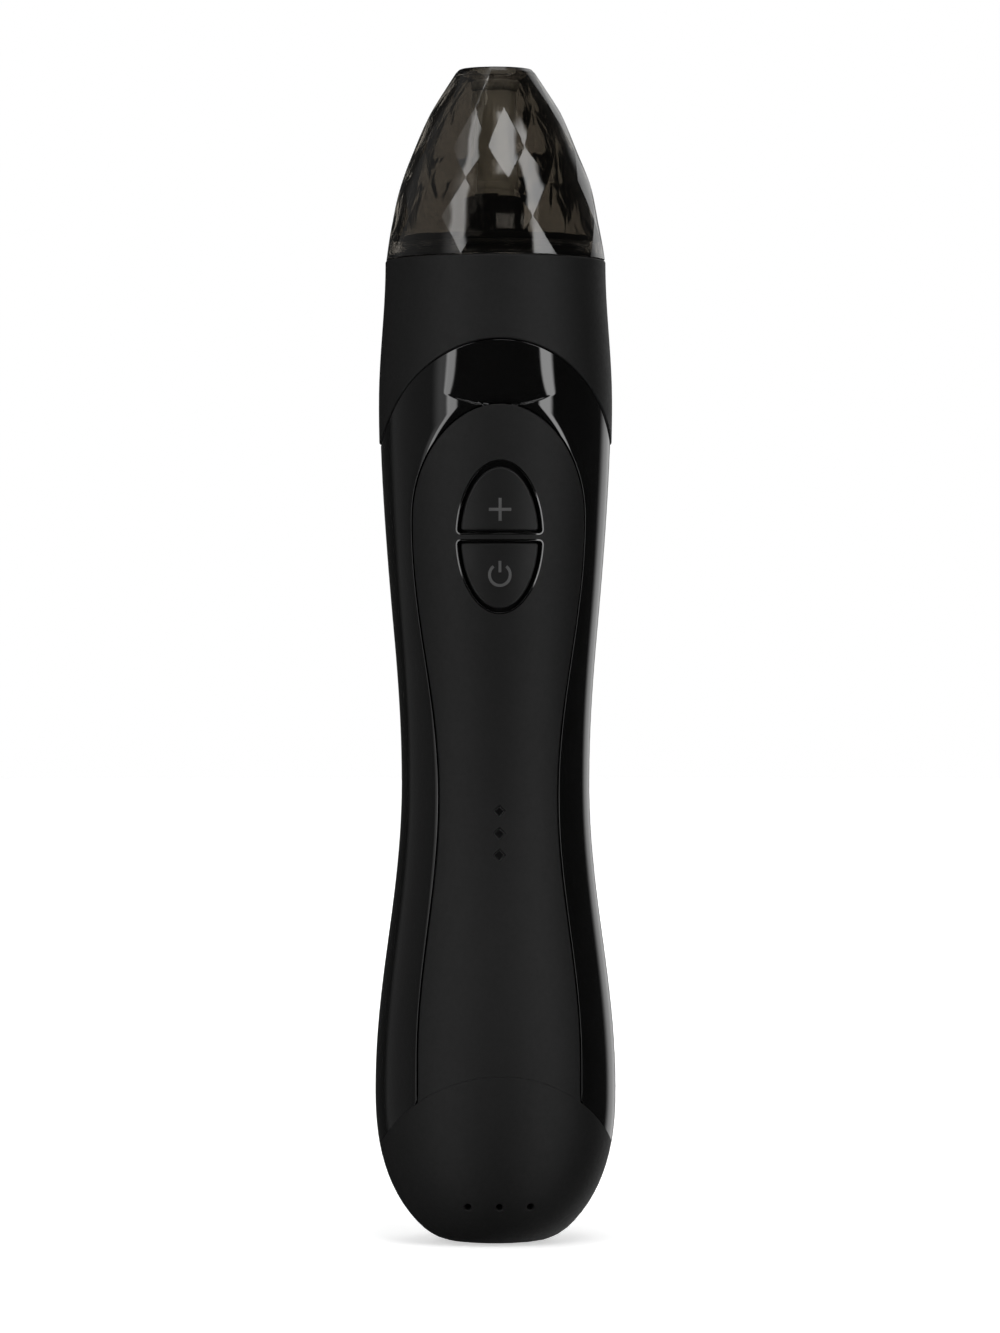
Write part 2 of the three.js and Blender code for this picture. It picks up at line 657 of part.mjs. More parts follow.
function addBoard() {
  const { x, front, rear, z, top } = BOARD;
  const lights = LENS_Z.map((lensZ) => box([-0.8, front - 0.7, lensZ - 0.5], [0.8, front + 0.2, lensZ + 0.5]));
  const chip = box([-2.5, front - 1.1, 84], [2.5, front + 0.2, 89]);
  const board = join(box([-x, front, z], [x, rear, top]), chip, ...lights);
  const holes = BOARD_SCREWS_Z.map((screwZ) => rod(0, screwZ, SCREW.r + 0.2, -FAR, 0, 8));
  addPiece("circuit_board", cut(board, ...holes), "board");
}

function addSwitch(name, z) {
  const { half, back, front, plungerR, tip } = SWITCH;
  const body = box([-half, front, z - half], [half, back, z + half]);
  addPiece(name, join(body, rod(0, z, plungerR, tip, front + 0.5, 12)), "blackPlastic");
}

function addBattery() {
  const { r, y, z, length } = CELL;
  const cell = turned([
    [0, z],
    [r - 0.5, z],
    [r, z + 0.5],
    [r, z + length - 0.5],
    [r - 0.5, z + length],
    [0, z + length],
  ]);
  addPiece("battery_cell", cell.translate([0, y, 0]), "cell");
  addPiece("battery_pad", box([-4, y + r + 0.3, 58], [4, y + r + 1.2, 86]), "foam");
}

function addCharging() {
  const { x, y, rear, z, h } = CHARGE_BOARD;
  addPiece("charge_board", box([-x, y, z], [x, rear, z + h]), "board");
  const s = SOCKET;
  const shell = box([-s.x, s.y, s.z], [s.x, s.rear, s.z + s.h]);
  const mouth = box([-s.x + s.wall, s.y + 1, s.z + s.wall], [s.x - s.wall, FAR, s.z + s.h - s.wall]);
  const tongue = box([-2.6, s.y + 0.5, s.z + 1.25], [2.6, s.rear - 1, s.z + 1.95]);
  addPiece("charge_socket", join(cut(shell, mouth), tongue), "steel");
}

function addLeads() {
  for (const [side, sign, finish] of [[-1, "negative", "blackLead"], [1, "positive", "redLead"]]) {
    const cellRoute = [
      [side * 4.5, 10.6, 34],
      [side * 5.5, 12.4, 28],
      [side * 6.2, 12.6, 21],
      [side * 6, 9, 15.4],
    ];
    addPiece(`battery_lead_${sign}`, lead(cellRoute), finish);
    const motorRoute = [
      [side * 5, 2, 98.7],
      [side * 5, 0, 95],
      [side * 5, -5, 93.8],
      [side * 5, -9.3, 93.8],
    ];
    addPiece(`motor_lead_${sign}`, lead(motorRoute), finish);
  }
}

/** A screw with its head at the origin, pointing along -Z. */
function screw(length) {
  return turned([
    [0, -length],
    [SCREW.r * 0.5, -length],
    [SCREW.r, -length + 1],
    [SCREW.r, 0],
    [SCREW.head, 0],
    [SCREW.head, SCREW.headH * 0.6],
    [SCREW.head * 0.6, SCREW.headH],
    [0, SCREW.headH],
  ], 8);
}

function addScrews() {
  for (const [index, side] of [-1, 1].entries()) {
    const mesh = addPiece(`base_screw_${index + 1}`, screw(9), "steel");
    mesh.rotation.x = Math.PI;
    mesh.position.set(side * BASE_SCREW_X, 0, 1.25);
  }
  const rear = addPiece("rear_screw", screw(8), "steel");
  rear.rotation.x = -Math.PI / 2;
  rear.position.set(0, halfSize(REAR_SCREW_Z, 2) - 0.85, REAR_SCREW_Z);
  for (const [index, z] of BOARD_SCREWS_Z.entries()) {
    const mesh = addPiece(`board_screw_${index + 1}`, screw(3.2), "steel");
    mesh.rotation.x = Math.PI / 2;
    mesh.position.set(0, BOARD.front - 0.05, z);
  }
}

// ---------------------------------------------------------------- the wand

addCap();
addTip();
addPost();
addDeck();
addCollar();
addSideFrame();
addFrontCover();
addRearCover();
addBaseCover();
addButton("plus_button", true, PLUS_Z);
addButton("power_button", false, POWER_Z);
addLenses();
addPump();
addChassis();
addBoard();
addSwitch("plus_switch", PLUS_Z);
addSwitch("power_switch", POWER_Z);
addBattery();
addCharging();
addLeads();
addScrews();

export default wand;
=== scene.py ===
"""A cordless pore-vacuum wand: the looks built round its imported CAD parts.

Shapes are worked out in millimetres, in the CAD's own frame, and become metres when a mesh is
made: +Z runs up the wand from its foot, and the front with the buttons faces -Y.
"""

import json
import math

import bmesh
import bpy
import numpy as np
from mathutils import Matrix, Vector
from mathutils.geometry import delaunay_2d_cdt


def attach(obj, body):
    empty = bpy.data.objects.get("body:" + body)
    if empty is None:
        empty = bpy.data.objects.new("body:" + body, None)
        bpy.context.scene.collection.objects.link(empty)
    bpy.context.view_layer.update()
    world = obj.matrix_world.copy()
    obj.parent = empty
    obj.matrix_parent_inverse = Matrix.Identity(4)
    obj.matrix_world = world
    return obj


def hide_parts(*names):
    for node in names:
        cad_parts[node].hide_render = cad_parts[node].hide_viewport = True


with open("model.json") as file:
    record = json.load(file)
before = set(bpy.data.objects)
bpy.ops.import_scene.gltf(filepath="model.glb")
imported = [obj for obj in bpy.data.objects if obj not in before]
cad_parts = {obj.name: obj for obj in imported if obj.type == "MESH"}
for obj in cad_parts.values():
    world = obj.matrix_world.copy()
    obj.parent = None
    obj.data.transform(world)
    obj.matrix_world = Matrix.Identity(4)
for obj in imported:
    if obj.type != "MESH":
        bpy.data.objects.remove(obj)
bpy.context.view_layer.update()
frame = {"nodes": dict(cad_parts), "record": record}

MM = 0.001

# ---------------------------------------------------------------- driving dimensions, millimetres

SEAM_Z = 160.6
COLLAR_Z = 137.0
WAIST_Z = 75.0
BULGE_Z = 25.0
STATION_Z = np.array([BULGE_Z, WAIST_Z, COLLAR_Z, SEAM_Z])
HALF_WIDTH = np.array([19.7, 15.4, 19.15, 18.05])
HALF_DEPTH = np.array([18.8, 14.8, 18.5, 18.05])
DOME_DROP = 27.56
DOME_POWER = 2.4

COLLAR_ARCH = {"z": 126.0, "x": 19.5, "rise": 21.0}
BASE_ARCH = {"z": 9.0, "x": 20.5, "rise": 19.0}
REAR_LINE = {"y": 9.0, "z": 118.0, "blunt_y": 5.0}
TONGUE = {"top": 136.4, "wide_z": 118.0, "wide": 14.0,
          "waist_z": 73.0, "waist": 9.6, "low_z": 30.0, "low": 13.2}
OVAL = {"z": 115.0, "x": 6.9, "rise": 12.2}
BAR_HALF = 0.62
BUTTON_INSET = 0.45
BUTTON_CLEARANCE = 0.32
BUTTON_FLANGE = 0.55  # how far a button reaches behind the cover
BUTTON_SHORTER = {"plus_button": 0.6, "power_button": 0.2}  # extra room at the oval's ends
MARK_Z = {"plus": 119.4, "power": 109.0}
LENS_Z = (70.7, 67.1, 63.6)
LENS_HALF = 0.85
VENTS = {"z": 6.6, "x": 5.1, "r": 0.55}
BASE_SCREW_X = 5.2
REAR_SCREW_Z = 94.0
BOARD_SCREWS_Z = (59.0, 100.5)
INLET = {"x": 4.7, "low": 14.85, "high": 18.55, "corner": 1.6}  # opening for the charging inlet

JOINT = 0.11  # visible gap between fixed covers
HAIRLINE = 0.015  # gap where the base cover meets the covers above it
WALLS = {"collar": 2.0, "frame": 3.6, "front": 1.8, "rear": 2.0, "base": 2.0}
FRAME_DROP = 0.2  # how far the glossy frame lies under the covers beside it
BASE_EDGE = 0.03  # edge radius along the base's arch
REAR_HOLE = 2.4
BASE_HOLE = (2.3, 2.35)
UNROLL = 18.0  # radius that turns an angle round the body into millimetres
COLLAR_POLE = 110.0  # height that the collar's flat map is centred on

FACETS = 14
CAP_ROWS = [(191.4, 6.55), (184.9, 10.7), (178.3, 13.6), (173.1, 15.6), (166.9, 17.0), (160.8, 18.0)]
CAP_TURN = math.radians(-7.6)
FACET_CUTS = 6
FACET_DOME = 0.6  # share of the way from flat facets to the round surface through their corners
CAP_TOP = 192.0


def unit(vectors):
    return vectors / np.linalg.norm(vectors, axis=-1, keepdims=True)


def smoothstep(value, low, high):
    share = np.clip((np.asarray(value, float) - low) / (high - low), 0, 1)
    return share * share * (3 - 2 * share)


# ---------------------------------------------------------------- the body's outline

def half_size(z, halves):
    """Half width or half depth of the body at a height."""
    z = np.asarray(z, float)
    within = np.clip(z, BULGE_Z, SEAM_Z)
    low = np.clip(np.searchsorted(STATION_Z, within, side="right") - 1, 0, len(STATION_Z) - 2)
    share = (within - STATION_Z[low]) / (STATION_Z[low + 1] - STATION_Z[low])
    side = halves[low] + (halves[low + 1] - halves[low]) * (1 - np.cos(np.pi * share)) / 2
    drop = np.clip((BULGE_Z - z) / DOME_DROP, 0, 1) ** DOME_POWER
    return side * np.sqrt(1 - drop)


def body_at(turn, z):
    """A point of the outline: turn is the angle from the front towards +X."""
    wide, deep = half_size(z, HALF_WIDTH), half_size(z, HALF_DEPTH)
    return np.stack([wide * np.sin(turn), -deep * np.cos(turn), z], -1)


def rolled(at):
    """The outline over a flat map: angle times UNROLL across, height up."""
    return body_at(at[:, 0] / UNROLL, at[:, 1])


def ringed(at):
    """The outline over a flat map of rings round COLLAR_POLE, so that a closed band is one area."""
    return body_at(np.arctan2(at[:, 0], at[:, 1]), COLLAR_POLE + np.hypot(at[:, 0], at[:, 1]))


FOOT_FLAT = 2000  # steps of the foot's profile before its dome


def foot_profile():
    """Distance along the base from the middle of the foot, with its share of the full width and
    its height: flat, then a soft corner, then the dome."""
    flat, corner_z = 6.0, 2.6
    full = HALF_WIDTH[0]
    corner = float(half_size(corner_z, HALF_WIDTH))
    slope = float(half_size(corner_z + 0.01, HALF_WIDTH)) - corner
    lead = corner - corner_z / 0.01 * slope
    share = np.linspace(0, 1, FOOT_FLAT)[:, None]
    start, bend, end = np.array([flat, 0]), np.array([lead, 0]), np.array([corner, corner_z])
    curve = start * (1 - share) ** 2 + 2 * bend * share * (1 - share) + end * share ** 2
    heights = np.linspace(corner_z, 34, 9000)[1:]
    dome = np.stack([half_size(heights, HALF_WIDTH), heights], 1)
    line = np.vstack([[[0, 0]], curve, dome])
    along = np.concatenate([[0], np.cumsum(np.hypot(*np.diff(line, axis=0).T))])
    return along, line[:, 0] / full, line[:, 1]


FOOT_ALONG, FOOT_SHARE, FOOT_HEIGHT = foot_profile()


def based(at):
    """The base over a flat map: distance from the middle of the foot, round all directions."""
    turn, along = np.arctan2(at[:, 0], at[:, 1]), np.hypot(at[:, 0], at[:, 1])
    share = np.interp(along, FOOT_ALONG, FOOT_SHARE)
    z = np.interp(along, FOOT_ALONG, FOOT_HEIGHT)
    return np.stack([HALF_WIDTH[0] * share * np.sin(turn), -HALF_DEPTH[0] * share * np.cos(turn), z], 1)


def tongue_distance(x, z):
    """How far a point seen from the front lies outside the front cover's outline."""
    rise = TONGUE["top"] - TONGUE["wide_z"]
    across, up = x / TONGUE["wide"], (z - TONGUE["wide_z"]) / rise
    reach = np.maximum(np.hypot(across, up), 1e-6)
    steep = np.hypot(across / TONGUE["wide"], up / rise) / reach
    above = (reach - 1) / steep
    half = tongue_half(z)
    slope = (tongue_half(z + 0.01) - tongue_half(z - 0.01)) / 0.02
    below = (np.abs(x) - half) / np.sqrt(1 + slope ** 2)
    return np.where(z > TONGUE["wide_z"], above, below)


def tongue_half(z):
    """Half width of the front cover under its round top."""
    def eased(low, high, at_low, at_high):
        share = np.clip((z - low) / (high - low), 0, 1)
        return at_low + (at_high - at_low) * (1 - np.cos(np.pi * share)) / 2
    upper = eased(TONGUE["waist_z"], TONGUE["wide_z"], TONGUE["waist"], TONGUE["wide"])
    lower = eased(TONGUE["low_z"], TONGUE["waist_z"], TONGUE["low"], TONGUE["waist"])
    return np.where(z > TONGUE["waist_z"], upper, lower)


ROLL = {"radius": 3.6, "wide": 1.5}  # the frame's rounded edge beside the front cover
SCOOP = {"z": 136.0, "lift": 0.026, "sink": 0.1, "dip": 0.85, "wide": 9.6, "fade": 2.4, "step": 0.3}
NECK = {"inset": 0.25, "none_z": 100.0, "full_z": 126.0}  # the frame's sides under the collar


def crease_z(x):
    """Height of the scoop's lower edge."""
    return SCOOP["z"] + SCOOP["lift"] * x ** 2


def scoop_depth(x, z):
    """The scoop under the collar's arch: a shallow hollow that dips towards its lower edge, where
    it steps back up. The step fades out to the sides."""
    above = z - crease_z(x)
    deep = SCOOP["sink"] + SCOOP["dip"] * np.exp(-np.maximum(above, 0) / SCOOP["fade"])
    across = np.clip(1 - (x / SCOOP["wide"]) ** 2, 0, 1) ** 2
    return deep * across * smoothstep(above, 0, SCOOP["step"])


def frame_depth(x, z, wide):
    """How far the glossy frame lies under the outline: its edge rolls off beside the front cover,
    and the scoop lies above that."""
    into_roll = np.clip(ROLL["wide"] - np.maximum(tongue_distance(x, z), 0), 0, None)
    beside = FRAME_DROP * smoothstep(z, BULGE_Z, WAIST_Z)
    beside = beside + ROLL["radius"] - np.sqrt(ROLL["radius"] ** 2 - into_roll ** 2)
    return (beside + scoop_depth(x, z)) * (1 - np.clip(np.abs(x) / wide, 0, 1) ** 4)


def framed(at):
    """The glossy frame's own surface over the unrolled map."""
    points = rolled(at)
    x, y, z = points.T.copy()
    wide = half_size(z, HALF_WIDTH)
    points[:, 1] += np.where(y < 0, frame_depth(x, z, wide), 0)
    inset = NECK["inset"] * smoothstep(z, NECK["none_z"], NECK["full_z"])
    inset *= smoothstep(np.abs(x) / wide, 0.72, 0.95) * smoothstep(-y, -5, 0)
    points[:, :2] *= (1 - inset / wide)[:, None]
    return points


NUDGE = 2e-3


def slopes(surface, at):
    across = surface(at + [NUDGE, 0]) - surface(at - [NUDGE, 0])
    along = surface(at + [0, NUDGE]) - surface(at - [0, NUDGE])
    return across / (2 * NUDGE), along / (2 * NUDGE)


def normals_of(surface, at):
    return unit(np.cross(*slopes(surface, at)))


def sunk(surface, depth):
    """The same surface, a depth further in."""
    return lambda at: surface(at) - normals_of(surface, at) * depth


# ---------------------------------------------------------------- outlines

def run(points, step=0.5):
    """Points at even steps along a curve, with both its ends."""
    points = np.asarray(points, float)
    along = np.concatenate([[0], np.cumsum(np.linalg.norm(np.diff(points, axis=0), axis=1))])
    count = max(int(round(along[-1] / step)), 1)
    places = np.linspace(0, along[-1], count + 1)
    return np.stack([np.interp(places, along, points[:, axis]) for axis in range(points.shape[1])], 1)


def loop_of(runs):
    """Runs joined end to end into one closed loop, without its repeated points."""
    return np.concatenate([part[:-1] for part in runs])


def polygon(corners, step):
    """The sides of a closed outline of straight lines, each as a run."""
    return [run([start, end], step) for start, end in zip(corners, corners[1:] + corners[:1])]


def mirrored(runs, centre=0.0):
    """Runs along one half of a symmetric outline, with the other half added."""
    flip = lambda part: np.stack([2 * centre - part[::-1, 0], part[::-1, 1]], 1)
    return runs + [flip(part) for part in reversed(runs)]


def softened(runs, radius, step=0.25):
    """Runs of a closed outline with each corner between them rounded."""
    trimmed = []
    for part in runs:
        along = np.concatenate([[0], np.cumsum(np.linalg.norm(np.diff(part, axis=0), axis=1))])
        places = np.linspace(radius, along[-1] - radius, max(int(along[-1] / step), 2))
        trimmed.append(np.stack([np.interp(places, along, part[:, axis]) for axis in (0, 1)], 1))
    pieces = []
    share = np.linspace(0, 1, 7)[:, None]
    for index, part in enumerate(trimmed):
        start, corner, end = part[-1], runs[index][-1], trimmed[(index + 1) % len(runs)][0]
        bend = start * (1 - share) ** 2 + 2 * corner * share * (1 - share) + end * share ** 2
        pieces += [part[:-1], bend[:-1]]
    return np.concatenate(pieces)


def arc(centre, radii, start, end, steps=60):
    """Points along an ellipse, angles in degrees."""
    angles = np.radians(np.linspace(start, end, steps))
    return np.stack([centre[0] + radii[0] * np.cos(angles), centre[1] + radii[1] * np.sin(angles)], 1)


def opening(centre, radii, count):
    """An ellipse as a clockwise loop."""
    return arc(centre, radii, 360, 0, count + 1)[:-1]


def front_map(points):
    """Points seen from the front, x and z, on the unrolled map."""
    points = np.asarray(points, float)
    wide = half_size(points[:, 1], HALF_WIDTH)
    turn = np.arcsin(np.clip(points[:, 0] / wide, -1, 1))
    return np.stack([turn * UNROLL, points[:, 1]], 1)


def arch_z(arch, turn):
    """Height at which an arch seen from the front crosses the outline at a turn."""
    z = np.full(np.shape(turn), arch["z"] + arch["rise"] * 0.6)
    for _ in range(40):
        reach = half_size(z, HALF_WIDTH) * np.sin(turn) / arch["x"]
        z = z * 0.4 + 0.6 * (arch["z"] + arch["rise"] * np.sqrt(np.clip(1 - reach ** 2, 0, 1)))
    return z


COLLAR_FOOT = float(arch_z(COLLAR_ARCH, np.array(math.pi / 2)))


def collar_edge_z(turn):
    """The collar's lower edge: arched in front and level behind."""
    turn = np.abs((np.asarray(turn) + math.pi) % (2 * math.pi) - math.pi)
    return np.where(turn < math.pi / 2, arch_z(COLLAR_ARCH, np.minimum(turn, math.pi / 2)), COLLAR_FOOT)


def arch_run(arch_line, start, end, lift):
    """A run along an arch on the unrolled map, between two turns."""
    turns = np.linspace(start, end, 200)
    return run(np.stack([turns * UNROLL, arch_line(turns) + lift], 1))


def base_line(turn):
    return arch_z(BASE_ARCH, turn)


def rear_turn(z, back):
    """Turn at which the side joint between frame and rear cover crosses a height."""
    rise = COLLAR_FOOT - REAR_LINE["z"]
    up = np.clip((z - REAR_LINE["z"]) / rise, 0, 1)
    y = REAR_LINE["y"] * np.sqrt(1 - up ** 2) + back
    return np.arccos(np.clip(-y / half_size(z, HALF_DEPTH), -1, 1))


def rear_foot(back):
    """Height at which the side joint meets the base's arch."""
    low = 20.0
    for _ in range(30):
        low = float(base_line(rear_turn(np.array(low), back))) + HAIRLINE
    return low


def rear_top(y):
    """Height at which the side joint's round top comes in to a distance behind the middle."""
    rise = COLLAR_FOOT - REAR_LINE["z"]
    return REAR_LINE["z"] + rise * math.sqrt(1 - (y / REAR_LINE["y"]) ** 2)


def tongue_side(grow):
    """The right side of the front cover's outline, from the base's arch up to its top."""
    low = float(arch_z(BASE_ARCH, np.array(0.72))) - 4
    heights = np.linspace(low, TONGUE["wide_z"], 260)
    side = np.stack([tongue_half(heights) + grow, heights], 1)
    rise = TONGUE["top"] - TONGUE["wide_z"]
    top = arc((0, TONGUE["wide_z"]), (TONGUE["wide"] + grow, rise + grow), 0, 90, 120)
    whole = front_map(np.vstack([side, top[1:]]))
    keep = whole[:, 1] > base_line(whole[:, 0] / UNROLL) + HAIRLINE
    foot_turn = whole[keep][0, 0] / UNROLL
    foot = np.array([[foot_turn * UNROLL, float(base_line(np.array(foot_turn))) + HAIRLINE]])
    return run(np.vstack([foot, whole[keep]]))


# ---------------------------------------------------------------- meshes

class Skin:
    """Faces that share points and hold a normal for each corner."""

    def __init__(self):
        self.points, self.faces, self.corners, self.finishes = [], [], [], []

    def add(self, points):
        first = len(self.points)
        self.points.extend(map(tuple, points))
        return np.arange(first, first + len(points))

    def face(self, corners, normals, finish=0):
        self.faces.append(tuple(int(corner) for corner in corners))
        self.corners.extend(tuple(normal) for normal in normals)
        self.finishes.append(finish)

    def strip(self, outer, inner, finish=0):
        """Faces between two closed rings, each (indices, normals), with the panel on the left."""
        (low, low_n), (high, high_n) = outer, inner
        for here in range(len(low)):
            after = (here + 1) % len(low)
            corners = (low[here], low[after], high[after], high[here])
            self.face(corners, (low_n[here], low_n[after], high_n[after], high_n[here]), finish)

    def mesh(self, name):
        data = bpy.data.meshes.new(name)
        data.from_pydata([tuple(value * MM for value in point) for point in self.points], [], self.faces)
        data.polygons.foreach_set("use_smooth", [True] * len(self.faces))
        data.polygons.foreach_set("material_index", self.finishes)
        data.normals_split_custom_set(self.corners)
        return data


def inward_of(surface, loop):
    """Directions along the surface from a loop into the area on its left."""
    points = surface(loop)
    ahead = unit(np.roll(points, -1, 0) - points)
    tangent = unit(ahead + np.roll(ahead, 1, 0))
    return unit(np.cross(normals_of(surface, loop), tangent))


def drawn_in(surface, loop, inward, distance):
    """The loop, moved a distance along the surface into the area on its left."""
    across, along = slopes(surface, loop)
    move = inward * distance
    a, b, c = (across * across).sum(1), (across * along).sum(1), (along * along).sum(1)
    right, up = (across * move).sum(1), (along * move).sum(1)
    span = a * c - b * b
    return loop + np.stack([(c * right - b * up) / span, (a * up - b * right) / span], 1)


def is_inside(loops, points):
    """Whether each point lies in the loops' area, counted by the edges to its right."""
    inside = np.zeros(len(points), bool)
    for loop in loops:
        after = np.roll(loop, -1, 0)
        for start in range(0, len(points), 2000):
            x, y = points[start:start + 2000, 0, None], points[start:start + 2000, 1, None]
            spans = (loop[:, 1] > y) != (after[:, 1] > y)
            rise = np.where(after[:, 1] == loop[:, 1], 1, after[:, 1] - loop[:, 1])
            meets = x < (after[:, 0] - loop[:, 0]) * (y - loop[:, 1]) / rise + loop[:, 0]
            inside[start:start + 2000] ^= (spans & meets).sum(1) % 2 == 1
    return inside


def grid(low, high, spacing):
    """A triangular lattice of points over a box."""
    rows = np.arange(low[1], high[1], spacing * 0.87)
    across = np.arange(low[0], high[0], spacing)
    lines = [np.stack([across + (row % 2) * spacing / 2, np.full(len(across), y)], 1)
             for row, y in enumerate(rows)]
    return np.concatenate(lines)


ROW_GAP = 0.16  # points of a row that lie closer than this to others are left out


def filled(loops, spacing, fine, rows=()):
    """Extra points inside the loops' area, those of the rows among them, and triangles over the
    loops' points and these."""
    rim = np.concatenate(loops)
    low, high = rim.min(0), rim.max(0)
    more = grid(low, high, spacing)
    limits = np.full(len(more), spacing)
    if fine:
        is_fine, small = fine
        detail = grid(low, high, small)
        more, detail = more[~is_fine(more)], detail[is_fine(detail)]
        limits = np.concatenate([np.full(len(more), spacing), np.full(len(detail), small)])
        more = np.concatenate([more, detail])
    keep = is_inside(loops, more)
    more, limits = more[keep], limits[keep]
    fixed = rim
    for row in rows:
        clear = np.array([np.hypot(*(fixed - point).T).min() for point in row])
        fixed = np.concatenate([fixed, row[clear > ROW_GAP]])
    near = [np.hypot(*(fixed - point).T).min() for point in more]
    nearest = np.array(near) if near else np.zeros(0)
    more = np.concatenate([more[nearest > 0.5 * np.minimum(limits, 0.9)], fixed[len(rim):]])
    edges, first = [], 0
    for loop in loops:
        edges += [(first + here, first + (here + 1) % len(loop)) for here in range(len(loop))]
        first += len(loop)
    everything = np.concatenate([rim, more])
    corners = [Vector(point) for point in everything]
    made, _, faces, origins, _, _ = delaunay_2d_cdt(corners, edges, [], 0, 1e-7)
    if any(not origin for origin in origins):
        places = [tuple(point) for point, origin in zip(made, origins) if not origin]
        raise ValueError(f"an outline crosses itself at {places[:4]}")
    faces = np.array([[origins[corner][0] for corner in face] for face in faces])
    faces = faces[is_inside(loops, everything[faces].mean(1))]
    first_point, second, third = (everything[faces[:, corner]] for corner in range(3))
    one, two = second - first_point, third - first_point
    turned = one[:, 0] * two[:, 1] - one[:, 1] * two[:, 0] < 0
    faces[turned] = faces[turned][:, ::-1]
    return more, faces


def round_edge(rounds):
    """A quarter circle of unit radius: distance in from the edge, depth and slope at each step."""
    angles = [math.pi / 2 * step / rounds for step in range(rounds + 1)]
    return [(1 - math.sin(angle), 1 - math.cos(angle), angle) for angle in angles]


def panel(skin, surface, under, loops, radius=0.25, spacing=1.8, fine=None, rounds=4, rim_finishes=None,
          rims=None, rows=()):
    """A closed shell: a surface over the area in the first loop and outside the others, with round
    edges, straight sides and an underside. The edges' radius is a number or, for each point of a
    loop, a function of the map. A loop's number in rims gives it an edge of another shape."""
    tops, feet = [], []
    for number, loop in enumerate(loops):
        finish = (rim_finishes or {}).get(number, 0)
        shape = (rims or {}).get(number)
        inward = inward_of(surface, loop)
        size = radius(loop)[:, None] if callable(radius) else radius
        size = 1.0 if shape else size
        rings, maps = [], []
        for inset, drop, angle in shape or round_edge(rounds):
            maps.append(drawn_in(surface, loop, inward, size * inset))
            normal = normals_of(surface, maps[-1])
            points = surface(maps[-1]) - normal * size * drop
            shade = unit(normal * math.cos(angle) - inward * math.sin(angle))
            rings.append((skin.add(points), shade))
        for upper, lower in zip(rings, rings[1:]):
            skin.strip(lower, upper, finish)
        foot = skin.add(under(loop))
        skin.strip((foot, -inward), (rings[-1][0], -inward), finish)
        tops.append((maps[0], rings[0][0]))
        feet.append((loop, foot))
    cover(skin, surface, *zip(*tops), spacing, fine, False, rows)
    cover(skin, under, *zip(*feet), max(spacing, UNDER_SPACING), None, True)


UNDER_SPACING = 2.2


def cover(skin, surface, loops, rims, spacing, fine, is_under, rows=()):
    """Fills the area in the loops, whose points are in the skin already as rims."""
    more, faces = filled(loops, spacing, fine, rows)
    indices = np.concatenate([*rims, skin.add(surface(more)) if len(more) else np.zeros(0, int)])
    at = np.concatenate([*loops, more])
    normals = normals_of(surface, at) * (-1 if is_under else 1)
    for face in faces:
        corners = face[::-1] if is_under else face
        skin.face(indices[corners], normals[corners])


def rounded(outline, radius, steps=4):
    """An open or closed outline of [radius, height] points with its corners rounded."""
    points = [np.array(point, float) for point in outline]
    made = [points[0]]
    for before, here, after in zip(points, points[1:], points[2:]):
        back, on = before - here, after - here
        reach = min(radius, 0.45 * np.linalg.norm(back), 0.45 * np.linalg.norm(on))
        start, end = here + unit(back) * reach, here + unit(on) * reach
        for step in range(steps + 1):
            share = step / steps
            made.append(start * (1 - share) ** 2 + 2 * here * share * (1 - share) + end * share ** 2)
    return made + [points[-1]]


def lathe(outline, sides=72):
    """A solid of revolution. The outline runs up the outside, and its last point is joined to its
    first unless it starts on the axis."""
    points, rings, faces = [], [], []
    for radius, z in outline:
        if radius < 1e-9:
            rings.append([len(points)])
            points.append((0, 0, z))
            continue
        rings.append(list(range(len(points), len(points) + sides)))
        for side in range(sides):
            angle = 2 * math.pi * side / sides
            points.append((radius * math.cos(angle), radius * math.sin(angle), z))
    last = rings[:1] if len(rings[0]) > 1 else []
    for low, high in zip(rings, rings[1:] + last):
        for side in range(sides):
            after = (side + 1) % sides
            corners = [low[side % len(low)], low[after % len(low)]]
            corners += [high[after % len(high)], high[side % len(high)]]
            corners = list(dict.fromkeys(corners))
            if len(corners) > 2:
                faces.append(corners)
    return plain_mesh(points, faces)


def plain_mesh(points, faces, angle=38):
    """A mesh in metres, smooth but for edges sharper than the angle."""
    data = bpy.data.meshes.new("made")
    data.from_pydata([tuple(value * MM for value in point) for point in points], [], faces)
    work = bmesh.new()
    work.from_mesh(data)
    bmesh.ops.recalc_face_normals(work, faces=work.faces)
    work.to_mesh(data)
    work.free()
    return creased(data, angle)


def creased(data, angle=38):
    data.polygons.foreach_set("use_smooth", [True] * len(data.polygons))
    data.set_sharp_from_angle(angle=math.radians(angle))
    return data


def box_mesh(low, high, turn):
    """A box between two corners, turned about Z: a tool to cut with."""
    work = bmesh.new()
    bmesh.ops.create_cube(work, size=1)
    size = [high[axis] - low[axis] for axis in range(3)]
    middle = [(high[axis] + low[axis]) / 2 for axis in range(3)]
    bmesh.ops.scale(work, vec=size, verts=work.verts)
    bmesh.ops.translate(work, vec=middle, verts=work.verts)
    bmesh.ops.rotate(work, cent=(0, 0, 0), matrix=Matrix.Rotation(turn, 3, "Z"), verts=work.verts)
    bmesh.ops.scale(work, vec=(MM, MM, MM), verts=work.verts)
    data = bpy.data.meshes.new("box")
    work.to_mesh(data)
    work.free()
    return creased(data, 50)


def set_at(x, y, z, turn):
    """A place in millimetres with a turn about X."""
    return Matrix.Translation((x * MM, y * MM, z * MM)) @ Matrix.Rotation(turn, 4, "X")


REAR_SKIN_Y = float(half_size(REAR_SCREW_Z, HALF_DEPTH))


